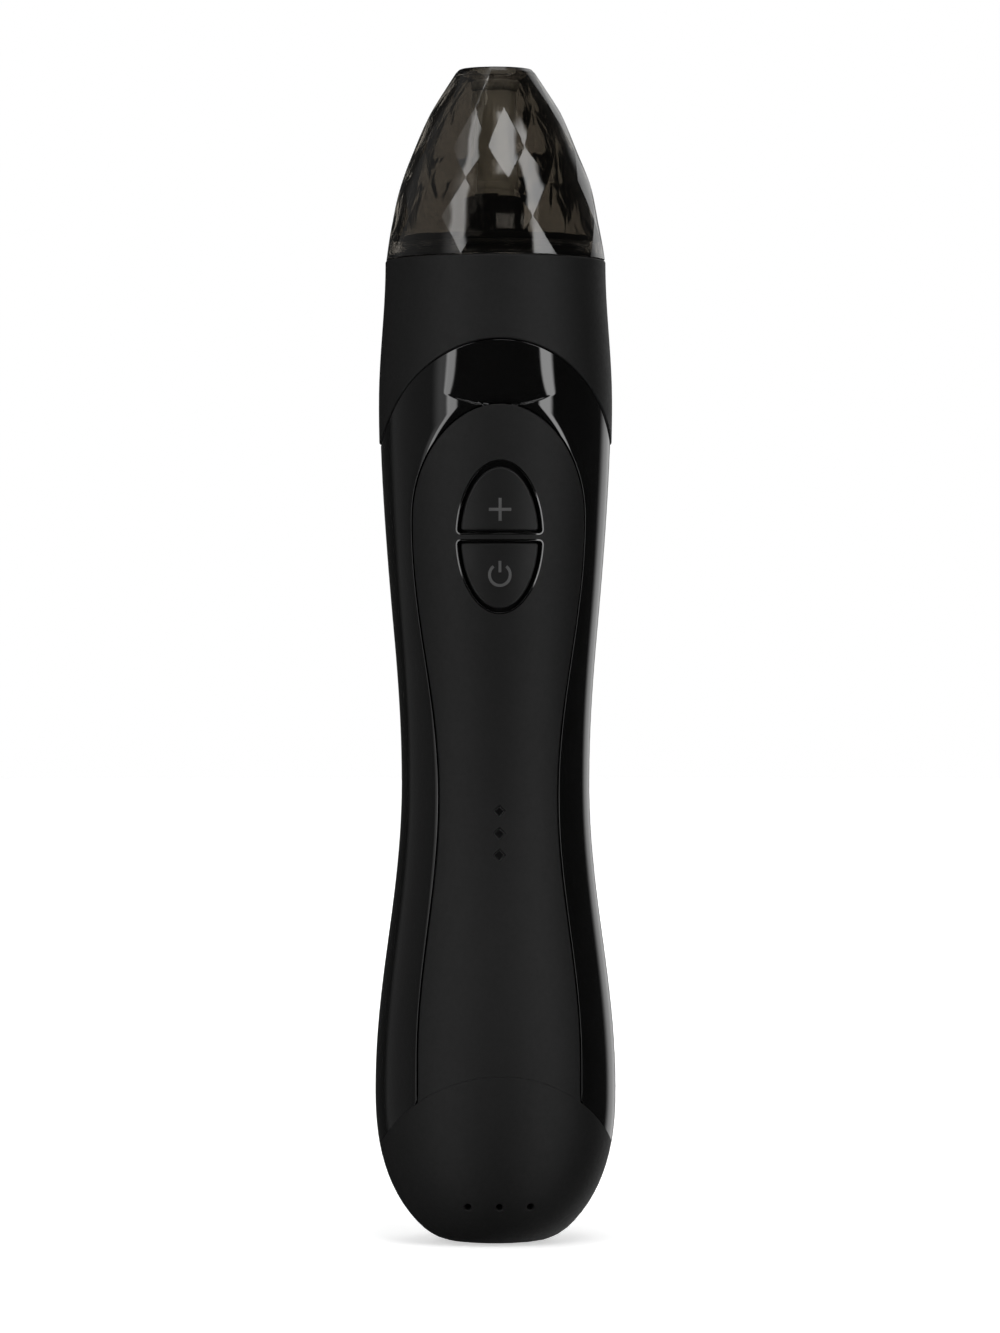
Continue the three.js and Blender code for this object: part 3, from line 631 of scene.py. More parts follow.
def in_scene(name, data):
    made = bpy.data.objects.new(name, data)
    bpy.context.scene.collection.objects.link(made)
    return made


def cut_by(data, tools):
    """A mesh with others cut out of it."""
    for other in tools:
        thing, tool = in_scene("work", data), in_scene("tool", other)
        step = thing.modifiers.new("combine", "BOOLEAN")
        step.operation, step.solver, step.object = "DIFFERENCE", "EXACT", tool
        evaluated = thing.evaluated_get(bpy.context.evaluated_depsgraph_get())
        data = bpy.data.meshes.new_from_object(evaluated)
        for item in (thing, tool):
            bpy.data.objects.remove(item)
    return data


def place(name, data, finish, body="handset", stands_for=(), more=(), weighted=False):
    """Puts a piece on its body with its finish, in place of the CAD nodes that it stands for."""
    piece = in_scene(name, data)
    data.name = name
    if not more:
        data.materials.clear()
    for each in (finish, *more):
        data.materials.append(finishes[each])
    if weighted:
        weigh = piece.modifiers.new("weights", "WEIGHTED_NORMAL")
        weigh.keep_sharp = True
    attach(piece, body)
    if stands_for:
        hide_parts(*stands_for)
    return piece


# ---------------------------------------------------------------- finishes

finishes = {}


def linear(tone):
    """A shown grey or colour, 0 to 1, as linear light."""
    return tuple(((part + 0.055) / 1.055) ** 2.4 if part > 0.04045 else part / 12.92 for part in tone)


def finish_of(slot, low, high, roughness, grain=900.0, rough_spread=0.08, bump=0.0, bump_scale=None,
              metallic=0.0, transmission=0.0, coat=0.0, sheen=0.0, stretch=(1, 1, 1), ior=1.5, specular=0.5):
    """A plastic, rubber or metal: its colour wanders between two tones, and its roughness and
    fine relief follow noise of their own."""
    made = bpy.data.materials.new(slot)
    made.use_nodes = True
    nodes, links = made.node_tree.nodes, made.node_tree.links
    shader = nodes["Principled BSDF"]
    for name, value in (
        ("Metallic", metallic), ("IOR", ior), ("Specular IOR Level", specular),
        ("Transmission Weight", transmission), ("Coat Weight", coat), ("Coat Roughness", 0.05),
        ("Sheen Weight", sheen), ("Sheen Roughness", 0.5),
    ):
        shader.inputs[name].default_value = value
    place_in = nodes.new("ShaderNodeTexCoord")
    scaled = nodes.new("ShaderNodeMapping")
    scaled.inputs["Scale"].default_value = stretch
    links.new(place_in.outputs["Object"], scaled.inputs["Vector"])

    def noise(scale, detail=4.0):
        made_noise = nodes.new("ShaderNodeTexNoise")
        made_noise.inputs["Scale"].default_value = scale
        made_noise.inputs["Detail"].default_value = detail
        links.new(scaled.outputs["Vector"], made_noise.inputs["Vector"])
        return made_noise.outputs["Fac"]

    def spread(scale, margin, low=0.0, high=1.0):
        """Noise stretched between two values, with its rare extremes clipped off."""
        made_range = nodes.new("ShaderNodeMapRange")
        ends = {"From Min": margin, "From Max": 1 - margin, "To Min": low, "To Max": high}
        for name, value in ends.items():
            made_range.inputs[name].default_value = value
        links.new(noise(scale), made_range.inputs["Value"])
        return made_range.outputs["Result"]

    tones = nodes.new("ShaderNodeMix")
    tones.data_type = "RGBA"
    tones.inputs["A"].default_value = (*linear(low), 1)
    tones.inputs["B"].default_value = (*linear(high), 1)
    links.new(spread(grain * 0.25, 0.3), tones.inputs["Factor"])
    links.new(tones.outputs["Result"], shader.inputs["Base Color"])
    smoothest = max(roughness - rough_spread / 2, 0.01)
    links.new(spread(grain, 0.25, smoothest, roughness + rough_spread / 2), shader.inputs["Roughness"])
    if bump:
        relief = nodes.new("ShaderNodeBump")
        relief.inputs["Strength"].default_value = bump
        relief.inputs["Distance"].default_value = 0.00005
        links.new(noise(bump_scale or grain * 3, 2.0), relief.inputs["Height"])
        links.new(relief.outputs["Normal"], shader.inputs["Normal"])
    finishes[slot] = made
    return made


def grey(tone):
    return (tone, tone, tone)


def smoked_plastic():
    """Dark see-through plastic that bends what is seen through it and lets lamps in."""
    made = finish_of("smoke", (0.42, 0.40, 0.37), (0.45, 0.43, 0.40), 0.03, grain=300, rough_spread=0.03,
                     transmission=1.0, ior=1.49)
    nodes, links = made.node_tree.nodes, made.node_tree.links
    path = nodes.new("ShaderNodeLightPath")
    clear = nodes.new("ShaderNodeBsdfTransparent")
    clear.inputs["Color"].default_value = (0.80, 0.79, 0.77, 1)
    either = nodes.new("ShaderNodeMixShader")
    links.new(path.outputs["Is Shadow Ray"], either.inputs["Fac"])
    links.new(nodes["Principled BSDF"].outputs["BSDF"], either.inputs[1])
    links.new(clear.outputs["BSDF"], either.inputs[2])
    links.new(either.outputs["Shader"], nodes["Material Output"].inputs["Surface"])


finish_of("soft_touch", grey(0.058), grey(0.066), 0.62, grain=1400, rough_spread=0.1,
          bump=0.25, bump_scale=9000, specular=0.3)
finish_of("button_black", grey(0.070), grey(0.079), 0.52, grain=1400, rough_spread=0.1,
          bump=0.2, bump_scale=9000, specular=0.3)
finish_of("gloss_black", grey(0.02), grey(0.03), 0.05, grain=500, rough_spread=0.03,
          bump=0.03, bump_scale=1200)
smoked_plastic()
finish_of("tip_grey", (0.79, 0.775, 0.73), (0.84, 0.825, 0.78), 0.42, grain=1500, bump=0.15)
finish_of("abrasive", (0.50, 0.49, 0.46), (0.74, 0.73, 0.70), 0.8, grain=9000,
          rough_spread=0.3, bump=1.0, bump_scale=12000)
finish_of("black_plastic", grey(0.04), grey(0.055), 0.5, grain=1200, bump=0.15, specular=0.25)
finish_of("rubber", grey(0.08), grey(0.11), 0.72, grain=1500, bump=0.3, sheen=0.1)
finish_of("silicone", (0.78, 0.78, 0.76), (0.84, 0.84, 0.82), 0.55, grain=900, bump=0.1)
finish_of("felt", (0.82, 0.80, 0.75), (0.93, 0.92, 0.88), 0.95, grain=6000,
          bump=1.0, bump_scale=8000, sheen=0.3)
finish_of("steel", (0.60, 0.61, 0.62), (0.70, 0.71, 0.72), 0.3, grain=1200,
          rough_spread=0.12, metallic=1.0, bump=0.1, stretch=(1, 1, 12))
finish_of("grey_plastic", (0.50, 0.51, 0.52), (0.56, 0.57, 0.58), 0.48, grain=1000, bump=0.2)
finish_of("board_green", (0.04, 0.26, 0.14), (0.08, 0.36, 0.20), 0.42, grain=1800, bump=0.2, coat=0.3)
finish_of("cell_blue", (0.12, 0.32, 0.62), (0.16, 0.38, 0.70), 0.35, grain=700, bump=0.1, coat=0.2)
finish_of("foam", grey(0.18), grey(0.27), 0.95, grain=5000, bump=1.0, bump_scale=5000)
finish_of("lens_black", grey(0.03), grey(0.05), 0.16, grain=1500)
finish_of("red_lead", (0.55, 0.08, 0.07), (0.64, 0.12, 0.10), 0.48, grain=1200, bump=0.15)
finish_of("black_lead", grey(0.06), grey(0.09), 0.48, grain=1200, bump=0.15)
finish_of("mark_grey", grey(0.27), grey(0.30), 0.5, grain=3000)


# ---------------------------------------------------------------- covers

def by_the_base(at, radius):
    """An edge radius that shrinks to a hairline's along the base's arch."""
    above = at[:, 1] - base_line(at[:, 0] / UNROLL)
    return BASE_EDGE + (radius - BASE_EDGE) * smoothstep(above, 0.15, 1.6)


def make_collar():
    turns = np.linspace(0, 2 * math.pi, 341)[:-1]

    def ring(heights):
        reach = heights - COLLAR_POLE
        return np.stack([reach * np.sin(turns), reach * np.cos(turns)], 1)[::-1]

    top = ring(np.full(len(turns), SEAM_Z - 0.02))
    bottom = ring(collar_edge_z(turns))[::-1]
    skin = Skin()
    panel(skin, ringed, sunk(ringed, WALLS["collar"]), [top, bottom], radius=0.3, spacing=2.4)
    place("collar_cover", skin.mesh("collar"), "soft_touch", stands_for=["collar"])


def make_side_frame():
    tongue = tongue_side(JOINT)[::-1]
    rear_low = rear_foot(0)
    base = arch_run(base_line, tongue[-1, 0] / UNROLL, float(rear_turn(rear_low, 0)), HAIRLINE)
    heights = np.linspace(rear_low, rear_top(REAR_LINE["blunt_y"]), 300)
    rear = run(np.stack([rear_turn(heights, 0) * UNROLL, heights], 1))
    corner_turn = math.acos(-REAR_LINE["blunt_y"] / float(half_size(COLLAR_FOOT, HALF_DEPTH)))
    step = run([rear[-1], (corner_turn * UNROLL, COLLAR_FOOT - JOINT)], 0.3)
    turns = np.linspace(corner_turn, 0, 400)
    collar = run(np.stack([turns * UNROLL, collar_edge_z(turns) - JOINT], 1))
    outer = softened(mirrored([tongue, base, rear, step, collar]), 0.95, 0.5)

    def near_scoop(at):
        return (at[:, 1] > 128) & (np.abs(at[:, 0]) < 14)

    def edge(at):
        points = rolled(at)
        off = collar_edge_z(at[:, 0] / UNROLL) - at[:, 1]
        beside = smoothstep(tongue_distance(points[:, 0], points[:, 2]), 0.2, 1.2)
        return by_the_base(at, 0.17 + 0.25 * beside * smoothstep(off, 0.4, 2))

    skin = Skin()
    panel(skin, framed, sunk(rolled, WALLS["frame"]), [outer], radius=edge, spacing=1.5,
          fine=(near_scoop, 0.42), rounds=6, rows=frame_rows())
    place("side_frame_cover", skin.mesh("side_frame"), "gloss_black", stands_for=["side_frame"])


def frame_rows():
    """Rows of points along the frame's rolled edge and along the scoop's lower edge."""
    rows = []
    across = np.linspace(-9.5, 9.5, 61)
    for up in (-0.12, 0.0, 0.1, 0.2, 0.35, 0.6, 0.9):
        seen = np.stack([across, crease_z(across) + up], 1)
        rows.append(front_map(seen[tongue_distance(seen[:, 0], seen[:, 1]) > 0.45]))
    for out in (0.45, 0.62, 0.8, 1.0, 1.25, 1.5):
        row = tongue_side(JOINT + out)
        row = row[row[:, 1] > base_line(row[:, 0] / UNROLL) + 0.9]
        rows += [row, (row * [-1, 1])[:-1]]
    return rows


def button_outline(is_upper, grow, shorter=0.0):
    """One half of the oval, above or below the bar, with soft corners."""
    wide, rise, bar = OVAL["x"] + grow, OVAL["rise"] + grow - shorter, BAR_HALF - grow
    angle = math.degrees(math.asin(bar / rise))
    if is_upper:
        curve = arc((0, OVAL["z"]), (wide, rise), angle, 180 - angle)
    else:
        curve = arc((0, OVAL["z"]), (wide, rise), 180 + angle, 360 - angle)
    curve = run(curve, 0.2)
    chord = run([curve[-1], curve[0]], 0.2)
    return front_map(softened([curve, chord], 0.7))


def diamond(z, half):
    """A diamond outline with soft corners, seen from the front."""
    corners = [(half, z), (0, z + half), (-half, z), (0, z - half)]
    return front_map(softened(polygon(corners, 0.1), 0.18, 0.12))


# The glossy ring round the oval: distance in from the edge, depth and slope at each step.
BUTTON_RIM = [(0.27, 0.0, 0.0), (0.26, 0.0, -0.012), (0.07, 0.0, -0.012),
              (0.04, 0.02, 0.4), (0.0, 0.08, math.pi / 2)]


def make_front_cover():
    side = tongue_side(0.0)
    bottom = arch_run(base_line, 0, side[0, 0] / UNROLL, HAIRLINE)
    outer = loop_of(mirrored([bottom, side]))
    holes = [button_outline(True, 0)[::-1], button_outline(False, 0)[::-1]]
    holes += [diamond(z, LENS_HALF + 0.1)[::-1] for z in LENS_Z]
    skin = Skin()
    panel(skin, rolled, sunk(rolled, WALLS["front"]), [outer, *holes],
          radius=lambda at: by_the_base(at, 0.22), spacing=1.5,
          rim_finishes={1: 1, 2: 1}, rims={1: BUTTON_RIM, 2: BUTTON_RIM})
    place("front_cover_shell", skin.mesh("front_cover"), "soft_touch",
          stands_for=["front_cover"], more=["gloss_black"])


def make_rear_cover():
    behind = math.pi * UNROLL
    low, high = rear_foot(JOINT), rear_top(REAR_LINE["blunt_y"] + 0.5)
    turn_low = 2 * math.pi - float(rear_turn(low, JOINT))
    bottom = arch_run(base_line, math.pi, turn_low, HAIRLINE)
    heights = np.linspace(low, high, 300)
    side = run(np.stack([(2 * math.pi - rear_turn(heights, JOINT)) * UNROLL, heights], 1))
    step = run([side[-1], (side[-1, 0], COLLAR_FOOT - JOINT)], 0.3)
    top = run([step[-1], (behind, COLLAR_FOOT - JOINT)])
    outer = softened(mirrored([bottom, side, step, top], behind), 1.1, 0.5)
    hole = opening((behind, REAR_SCREW_Z), (REAR_HOLE, REAR_HOLE), 48)
    skin = Skin()
    panel(skin, rolled, sunk(rolled, WALLS["rear"]), [outer, hole],
          radius=lambda at: by_the_base(at, 0.25), spacing=2.0)
    place("rear_cover_shell", skin.mesh("rear_cover"), "soft_touch", stands_for=["rear_cover"])
    seat = lathe(rounded([(1.2, 0), (3.2, 0), (3.2, -0.9), (1.2, -0.9), (1.2, 0)], 0.1), 48)
    seat.transform(set_at(0, REAR_SKIN_Y - 0.95, REAR_SCREW_Z, -math.pi / 2))
    place("rear_screw_seat", seat, "black_plastic")


def base_map(points):
    """Points seen from the front or back, x, z and the side of the body, on the base's map."""
    made = []
    for x, z, is_rear in points:
        turn = math.asin(x / float(half_size(z, HALF_WIDTH)))
        turn = math.pi - turn if is_rear else turn
        along = float(np.interp(z, FOOT_HEIGHT[FOOT_FLAT:], FOOT_ALONG[FOOT_FLAT:]))
        made.append((along * math.sin(turn), along * math.cos(turn)))
    return np.array(made)


def make_base_cover():
    turns = np.linspace(0, 2 * math.pi, 321)[:-1]
    heights = arch_z(BASE_ARCH, turns)
    along = np.interp(heights, FOOT_HEIGHT[FOOT_FLAT:], FOOT_ALONG[FOOT_FLAT:])
    rim = np.stack([along * np.sin(turns), along * np.cos(turns)], 1)[::-1]
    vent = (VENTS["r"], VENTS["r"])
    vents = [opening((side * VENTS["x"], VENTS["z"]), vent, 20) for side in (-1, 0, 1)]
    holes = [base_map([(x, z, False) for x, z in loop]) for loop in vents]
    holes += [opening((side * BASE_SCREW_X, 0), BASE_HOLE, 40) for side in (-1, 1)]
    wide, low, high = INLET["x"], INLET["low"], INLET["high"]
    sides = polygon([(-wide, low), (wide, low), (wide, high), (-wide, high)], 0.25)
    holes.append(base_map([(x, z, True) for x, z in softened(sides, INLET["corner"], 0.3)]))
    holes = [loop if area(loop) < 0 else loop[::-1] for loop in holes]

    def edge(at):
        return np.where(np.hypot(at[:, 0], at[:, 1]) < 22, 0.2, BASE_EDGE)

    skin = Skin()
    panel(skin, based, sunk(based, WALLS["base"]), [rim, *holes], radius=edge, spacing=1.8)
    place("base_cover_shell", skin.mesh("base_cover"), "soft_touch", stands_for=["base_cover"])


def area(loop):
    after = np.roll(loop, -1, 0)
    return float((loop[:, 0] * after[:, 1] - after[:, 0] * loop[:, 1]).sum() / 2)


# ---------------------------------------------------------------- buttons, marks and lenses

def make_button(node, is_upper):
    face = button_outline(is_upper, -BUTTON_CLEARANCE, BUTTON_SHORTER[node])
    flange = button_outline(is_upper, BUTTON_FLANGE)
    skin = Skin()
    panel(skin, sunk(rolled, BUTTON_INSET), sunk(rolled, BUTTON_INSET + 1.9), [face],
          radius=0.4, spacing=1.2, rounds=5)
    panel(skin, sunk(rolled, 2.1), sunk(rolled, 2.9), [flange], radius=0.1, spacing=2, rounds=2)
    place(f"{node}_cap", skin.mesh(node), "button_black", body=node, stands_for=[node])


def make_mark(name, node, loops):
    """A raised mark on a button, of one closed piece for each loop."""
    skin = Skin()
    for loop in loops:
        panel(skin, sunk(rolled, BUTTON_INSET - 0.04), sunk(rolled, BUTTON_INSET + 0.15),
              [front_map(loop)], radius=0.03, spacing=1, rounds=2)
    mark = place(name, skin.mesh(name), "mark_grey", body=node)


def make_plus_mark():
    half, stroke, z = 1.85, 0.25, MARK_Z["plus"]
    quarter = [(stroke, stroke), (stroke, half), (-stroke, half)]
    corners = []
    for turn in range(4):
        c, s = round(math.cos(turn * math.pi / 2)), round(math.sin(turn * math.pi / 2))
        corners += [(c * x - s * y, s * x + c * y + z) for x, y in quarter]
    make_mark("plus_mark", "plus_button", [loop_of(polygon(corners, 0.2))])


def make_power_mark():
    inner, outer, gap, stroke, z = 1.48, 1.96, 38, 0.24, MARK_Z["power"]
    centre = (0, z - 0.15)
    outside = arc(centre, (outer, outer), 90 + gap, 450 - gap, 48)
    inside = arc(centre, (inner, inner), 450 - gap, 90 + gap, 40)
    sides = [outside, [outside[-1], inside[0]], inside, [inside[-1], outside[0]]]
    ring = loop_of([run(side, 0.2) for side in sides])
    corners = [(-stroke, z + 0.25), (stroke, z + 0.25), (stroke, z + 2.1), (-stroke, z + 2.1)]
    make_mark("power_mark", "power_button", [ring, loop_of(polygon(corners, 0.2))])


def make_lenses():
    for index, z in enumerate(LENS_Z):
        skin = Skin()
        panel(skin, sunk(rolled, 0.12), sunk(rolled, 2.6), [diamond(z, LENS_HALF)],
              radius=0.12, spacing=0.6, rounds=3)
        node = f"indicator_lens_{index + 1}"
        place(f"{node}_window", skin.mesh(node), "lens_black", stands_for=[node])


# ---------------------------------------------------------------- cap

def cap_radius(z):
    """Radius of the round surface through the facets' corners."""
    heights, radii = zip(*reversed(CAP_ROWS))
    slope = np.gradient(radii, heights)
    at = int(np.clip(np.searchsorted(heights, z, side="right") - 1, 0, len(heights) - 2))
    span = heights[at + 1] - heights[at]
    share = (z - heights[at]) / span
    bend = share ** 2 * (3 - 2 * share)
    leaving, arriving = share * (1 - share) ** 2 * span, share ** 2 * (share - 1) * span
    between = radii[at] * (1 - bend) + radii[at + 1] * bend
    return between + leaving * slope[at] + arriving * slope[at + 1]


def domed(point):
    """A point of a flat facet, moved part of the way out to the round surface."""
    x, y, z = point
    reach = math.hypot(x, y)
    grown = 1 + FACET_DOME * (cap_radius(z) / reach - 1)
    return (x * grown, y * grown, z)


def cap_corner(row, side):
    z, radius = CAP_ROWS[row]
    angle = CAP_TURN + (side + (0.5 if row % 2 else 0)) * 2 * math.pi / FACETS
    return np.array((radius * math.sin(angle), -radius * math.cos(angle), z))


def facet_corners():
    """The triangles between the rows, each as (row, side) of its three corners. The first edge
    of each lies in a row, and two triangles on one such edge make a diamond."""
    for row in range(len(CAP_ROWS) - 1):
        lean = 1 if row % 2 else 0
        for side in range(FACETS):
            yield (row, side), (row, side + 1), (row + 1, side + lean)
            yield (row + 1, side + lean), (row + 1, side - 1 + lean), (row, side)


def lattice():
    """The cap's outside, with each facet cut up finely and domed: corners, faces and the pairs of
    corners that the edges between diamonds join."""
    known, points, faces, seams = {}, [], [], set()

    def index_of(point):
        key = tuple(round(value, 4) for value in point)
        if key not in known:
            known[key] = len(points)
            points.append(point)
        return known[key]

    cuts = FACET_CUTS
    for ends in facet_corners():
        a, b, c = (cap_corner(*end) for end in ends)
        rows = []
        for down in range(cuts + 1):
            across = cuts - down
            line = [(a * (across - step) + b * step + c * down) / cuts for step in range(across + 1)]
            rows.append([index_of(domed(point)) for point in line])
        for upper, lower in zip(rows, rows[1:]):
            for step in range(len(lower)):
                faces.append((upper[step], upper[step + 1], lower[step]))
                if step + 1 < len(lower):
                    faces.append((upper[step + 1], lower[step + 1], lower[step]))
            seams.add(frozenset((upper[0], lower[0])))
            seams.add(frozenset((upper[-1], lower[-1])))
    top, foot = (ring_at(points, z) for z in (CAP_ROWS[0][0], CAP_ROWS[-1][0]))
    inward = (CAP_ROWS[0][1] - 0.6) / CAP_ROWS[0][1]
    rim = [index_of((points[index][0] * inward, points[index][1] * inward, CAP_TOP)) for index in top]
    for here in range(len(top)):
        after = (here + 1) % len(top)
        faces.append((top[here], top[after], rim[after], rim[here]))
        seams.add(frozenset((top[here], top[after])))
        seams.add(frozenset((rim[here], rim[after])))
    return points, faces + [tuple(rim), tuple(reversed(foot))], seams


def ring_at(points, z):
    """Points at a height, in order round the axis."""
    found = [index for index, point in enumerate(points) if abs(point[2] - z) < 1e-6]
    return sorted(found, key=lambda index: math.atan2(points[index][0], -points[index][1]))


def make_cap():
    points, faces, seams = lattice()
    work = bmesh.new()
    corners = [work.verts.new(Vector(point)) for point in points]
    for face in faces:
        work.faces.new([corners[index] for index in face])
    bmesh.ops.recalc_face_normals(work, faces=work.faces)
    work.verts.index_update()
    between = [edge for edge in work.edges if frozenset(vert.index for vert in edge.verts) in seams]
    made = bmesh.ops.bevel(work, geom=between, offset=0.07, segments=1, profile=0.6, affect="EDGES")
    bevelled = set(made["faces"])
    bmesh.ops.scale(work, vec=(MM, MM, MM), verts=work.verts)
    for face in work.faces:
        face.smooth = face not in bevelled and len(face.verts) < 20
    for edge in work.edges:
        edge.smooth = all(face.smooth for face in edge.link_faces)
    outside = bpy.data.meshes.new("facets")
    work.to_mesh(outside)
    work.free()
    foot = CAP_ROWS[-1][0]
    inside = [(0, foot - 1), (16.5, foot - 1), (16.5, foot), (16.2, foot + 0.4), (16.2, foot + 3.2)]
    inside += [(15.2, 166.9), (13.7, 173.1), (11.7, 178.3), (8.7, 184.9), (6.1, 189.0), (5.2, 190.4)]
    inside = rounded(inside + [(5.2, 191.6), (5.7, CAP_TOP + 0.05), (5.7, 194), (0, 194)], 1.2, 5)
    hollow = lathe(inside, 96)
    cap = cut_by(outside, [hollow])
    place("treatment_cap_shell", cap, "smoke", body="treatment_cap", stands_for=["treatment_cap"])


# ---------------------------------------------------------------- tip, post and deck

def slot_cutters(count, width, low, high):
    """Radial cutters with round ends for the tip's air slots."""
    half = width / 2
    made = []
    for index in range(count):
        outline = [*arc((0, high - half), (half, half), 0, 180, 9),
                   *arc((0, low + half), (half, half), 180, 360, 9)]
        near = [(1.0, y, z) for y, z in outline]
        far = [(6.0, y, z) for y, z in outline]
        size = len(outline)
        faces = [tuple(range(size)), tuple(range(2 * size - 1, size - 1, -1))]
        faces += [(here, (here + 1) % size, size + (here + 1) % size, size + here) for here in range(size)]
        data = plain_mesh(near + far, faces)
        data.transform(Matrix.Rotation(2 * math.pi / count * index, 4, "Z"))
        made.append(data)
    return made


def make_tip():
    foot, top = 164.4, 188.0
    outline = [(2.3, foot + 1), *rounded([
        (2.3, foot + 0.5), (2.5, foot), (3.3, foot), (3.3, 172.0), (3.42, 172.3),
        (3.42, 173.0), (3.3, 173.3), (3.3, top), (2.3, top),
    ], 0.15)]
    tube = lathe(outline, 64)
    tube = creased(cut_by(tube, slot_cutters(2, 1.5, 173.6, 186.4)), 40)
    place("suction_tip_tube", tube, "tip_grey", body="suction_tip", stands_for=["suction_tip"])
    head = [(0, 188.05), (3.5, 188.05), (3.9, 188.5), (3.9, 189.5), (3.45, 189.8), (0, 189.8)]
    disc = lathe(rounded(head, 0.25), 64)
    place("tip_disc_pad", disc, "abrasive", body="suction_tip", stands_for=["tip_disc"])


def make_post():
    outline = [(0.9, 160.3), (6.1, 160.3), (6.1, 163.1), (5.2, 163.1), (5.2, 171.2),
               (3.62, 171.2), (3.62, 164.1), (0.9, 164.1), (0.9, 160.3)]
    post = lathe(rounded(outline, 0.3)[:-1], 72)
    place("tip_post_socket", post, "black_plastic", stands_for=["tip_post"], weighted=True)
    felt = lathe(rounded([(0, 158.4), (6.1, 158.4), (6.1, 160.1), (0, 160.1)], 0.3), 64)
    place("filter_pad", felt, "felt", stands_for=["filter_disc"])


def make_deck():
    groove = 0.55
    seal_z = 162.7
    outline = [
        (0.9, 151), (1.7, 151), (1.7, 156), (15.7, 156), (15.7, 160.8), (15.4, 160.8),
        (15.4, seal_z - groove), (14.5, seal_z - groove), (14.5, seal_z + groove), (15.4, seal_z + groove),
        (15.4, 164.4), (13.8, 164.4), (13.8, 160.8), (6.4, 160.8), (6.4, 158.2), (0.9, 158.2), (0.9, 151),
    ]
    deck = lathe(rounded(outline, 0.22, 3)[:-1], 96)
    place("head_deck_ring", deck, "black_plastic", stands_for=["head_deck"], weighted=True)
    section = arc((15.2, seal_z), (0.5, 0.5), 0, 360, 17)[:-1]
    place("cap_seal_ring", lathe(section, 96), "rubber", stands_for=["cap_seal"])


# ---------------------------------------------------------------- screws

def make_screw(node, length, matrix):
    """A pan-head screw with a cross recess, its head's seat at the origin and pointing along -Z."""
    head = [(0, -length), (0.45, -length), (0.9, -length + 1)]
    for turn in range(int((length - 1.4) / 0.7)):
        z = -length + 1 + turn * 0.7
        head += [(0.9, z + 0.1), (0.72, z + 0.3), (0.9, z + 0.55)]
    head += [(0.8, -0.2), (0.8, 0), (1.95, 0), (2.0, 0.1), (1.95, 0.6), (1.5, 0.92), (0.8, 1.0), (0, 1.0)]
    data = lathe(head, 40)
    arms = [box_mesh((-1.15, -0.2, 0.45), (1.15, 0.2, 2), turn) for turn in (0, math.pi / 2)]
    data = creased(cut_by(data, arms), 40)
    data.transform(matrix)
    place(f"{node}_cross", data, "steel", stands_for=[node])


def make_screws():
    for index, side in enumerate((-1, 1)):
        make_screw(f"base_screw_{index + 1}", 9, set_at(side * BASE_SCREW_X, 0, 1.25, math.pi))
    make_screw("rear_screw", 8, set_at(0, REAR_SKIN_Y - 0.85, REAR_SCREW_Z, -math.pi / 2))
    for index, z in enumerate(BOARD_SCREWS_Z):
        make_screw(f"board_screw_{index + 1}", 3.2, set_at(0, -10.85, z, math.pi / 2))


# ---------------------------------------------------------------- CAD nodes that stay

def dress_nodes():
    """Gives every CAD node its slot's finish."""
    for part in frame["record"]["subparts"]:
        thing = frame["nodes"][part["node"]]
        for slot in thing.material_slots:
            slot.material = finishes[part["material_slot"]]


# ---------------------------------------------------------------- floor, light and camera

CAMERA_DISTANCE = 0.97
CAMERA_TURN = math.radians(2.5)  # the front is turned this far to the camera's right
CAMERA_Z = 0.0941
CAMERA_SIDE = 0.00074
LENS_MM = 159.6


def make_camera():
    data = bpy.data.cameras.new("camera")
    camera = in_scene("camera", data)
    data.lens, data.sensor_width, data.sensor_fit = LENS_MM, 36, "AUTO"
    data.clip_start, data.clip_end = 0.05, 20
    back = Vector((-math.sin(CAMERA_TURN), -math.cos(CAMERA_TURN), 0))
    right = Vector((math.cos(CAMERA_TURN), -math.sin(CAMERA_TURN), 0))
    camera.location = back * CAMERA_DISTANCE + right * CAMERA_SIDE + Vector((0, 0, CAMERA_Z))
    camera.rotation_mode = "QUATERNION"
    camera.rotation_quaternion = (-back).to_track_quat("-Z", "Y")
    bpy.context.scene.camera = camera


# Soft boxes: direction from the front towards +X and height, half sizes and soft edges in
# degrees, and brightness. A box that is for gloss only isn't seen through the cap.
PANELS = [
    {"turn": -44, "half": 5, "soft": (4, 3), "low": -50, "high": 72, "light": 4.4},
    {"turn": -54, "half": 7, "soft": (12, 4), "low": -50, "high": 72, "light": 0.9},
    {"turn": 46.5, "half": 6.5, "soft": (3, 5), "low": -50, "high": 50, "light": 5.6},
    {"turn": 10, "half": 16, "soft": (5, 5), "low": 42, "high": 58, "light": 6.0},
    {"turn": -96, "half": 34, "soft": (12, 12), "low": -70, "high": 80, "light": 0.15},
    {"turn": 149, "half": 15, "soft": (14, 14), "low": -60, "high": 70, "light": 0.9, "gloss": True},
    {"turn": 0, "half": 181, "soft": (0, 0), "low": 76, "high": 91, "light": 1.5},
]
HEIGHT_SOFT = 5
SURROUND = 0.03


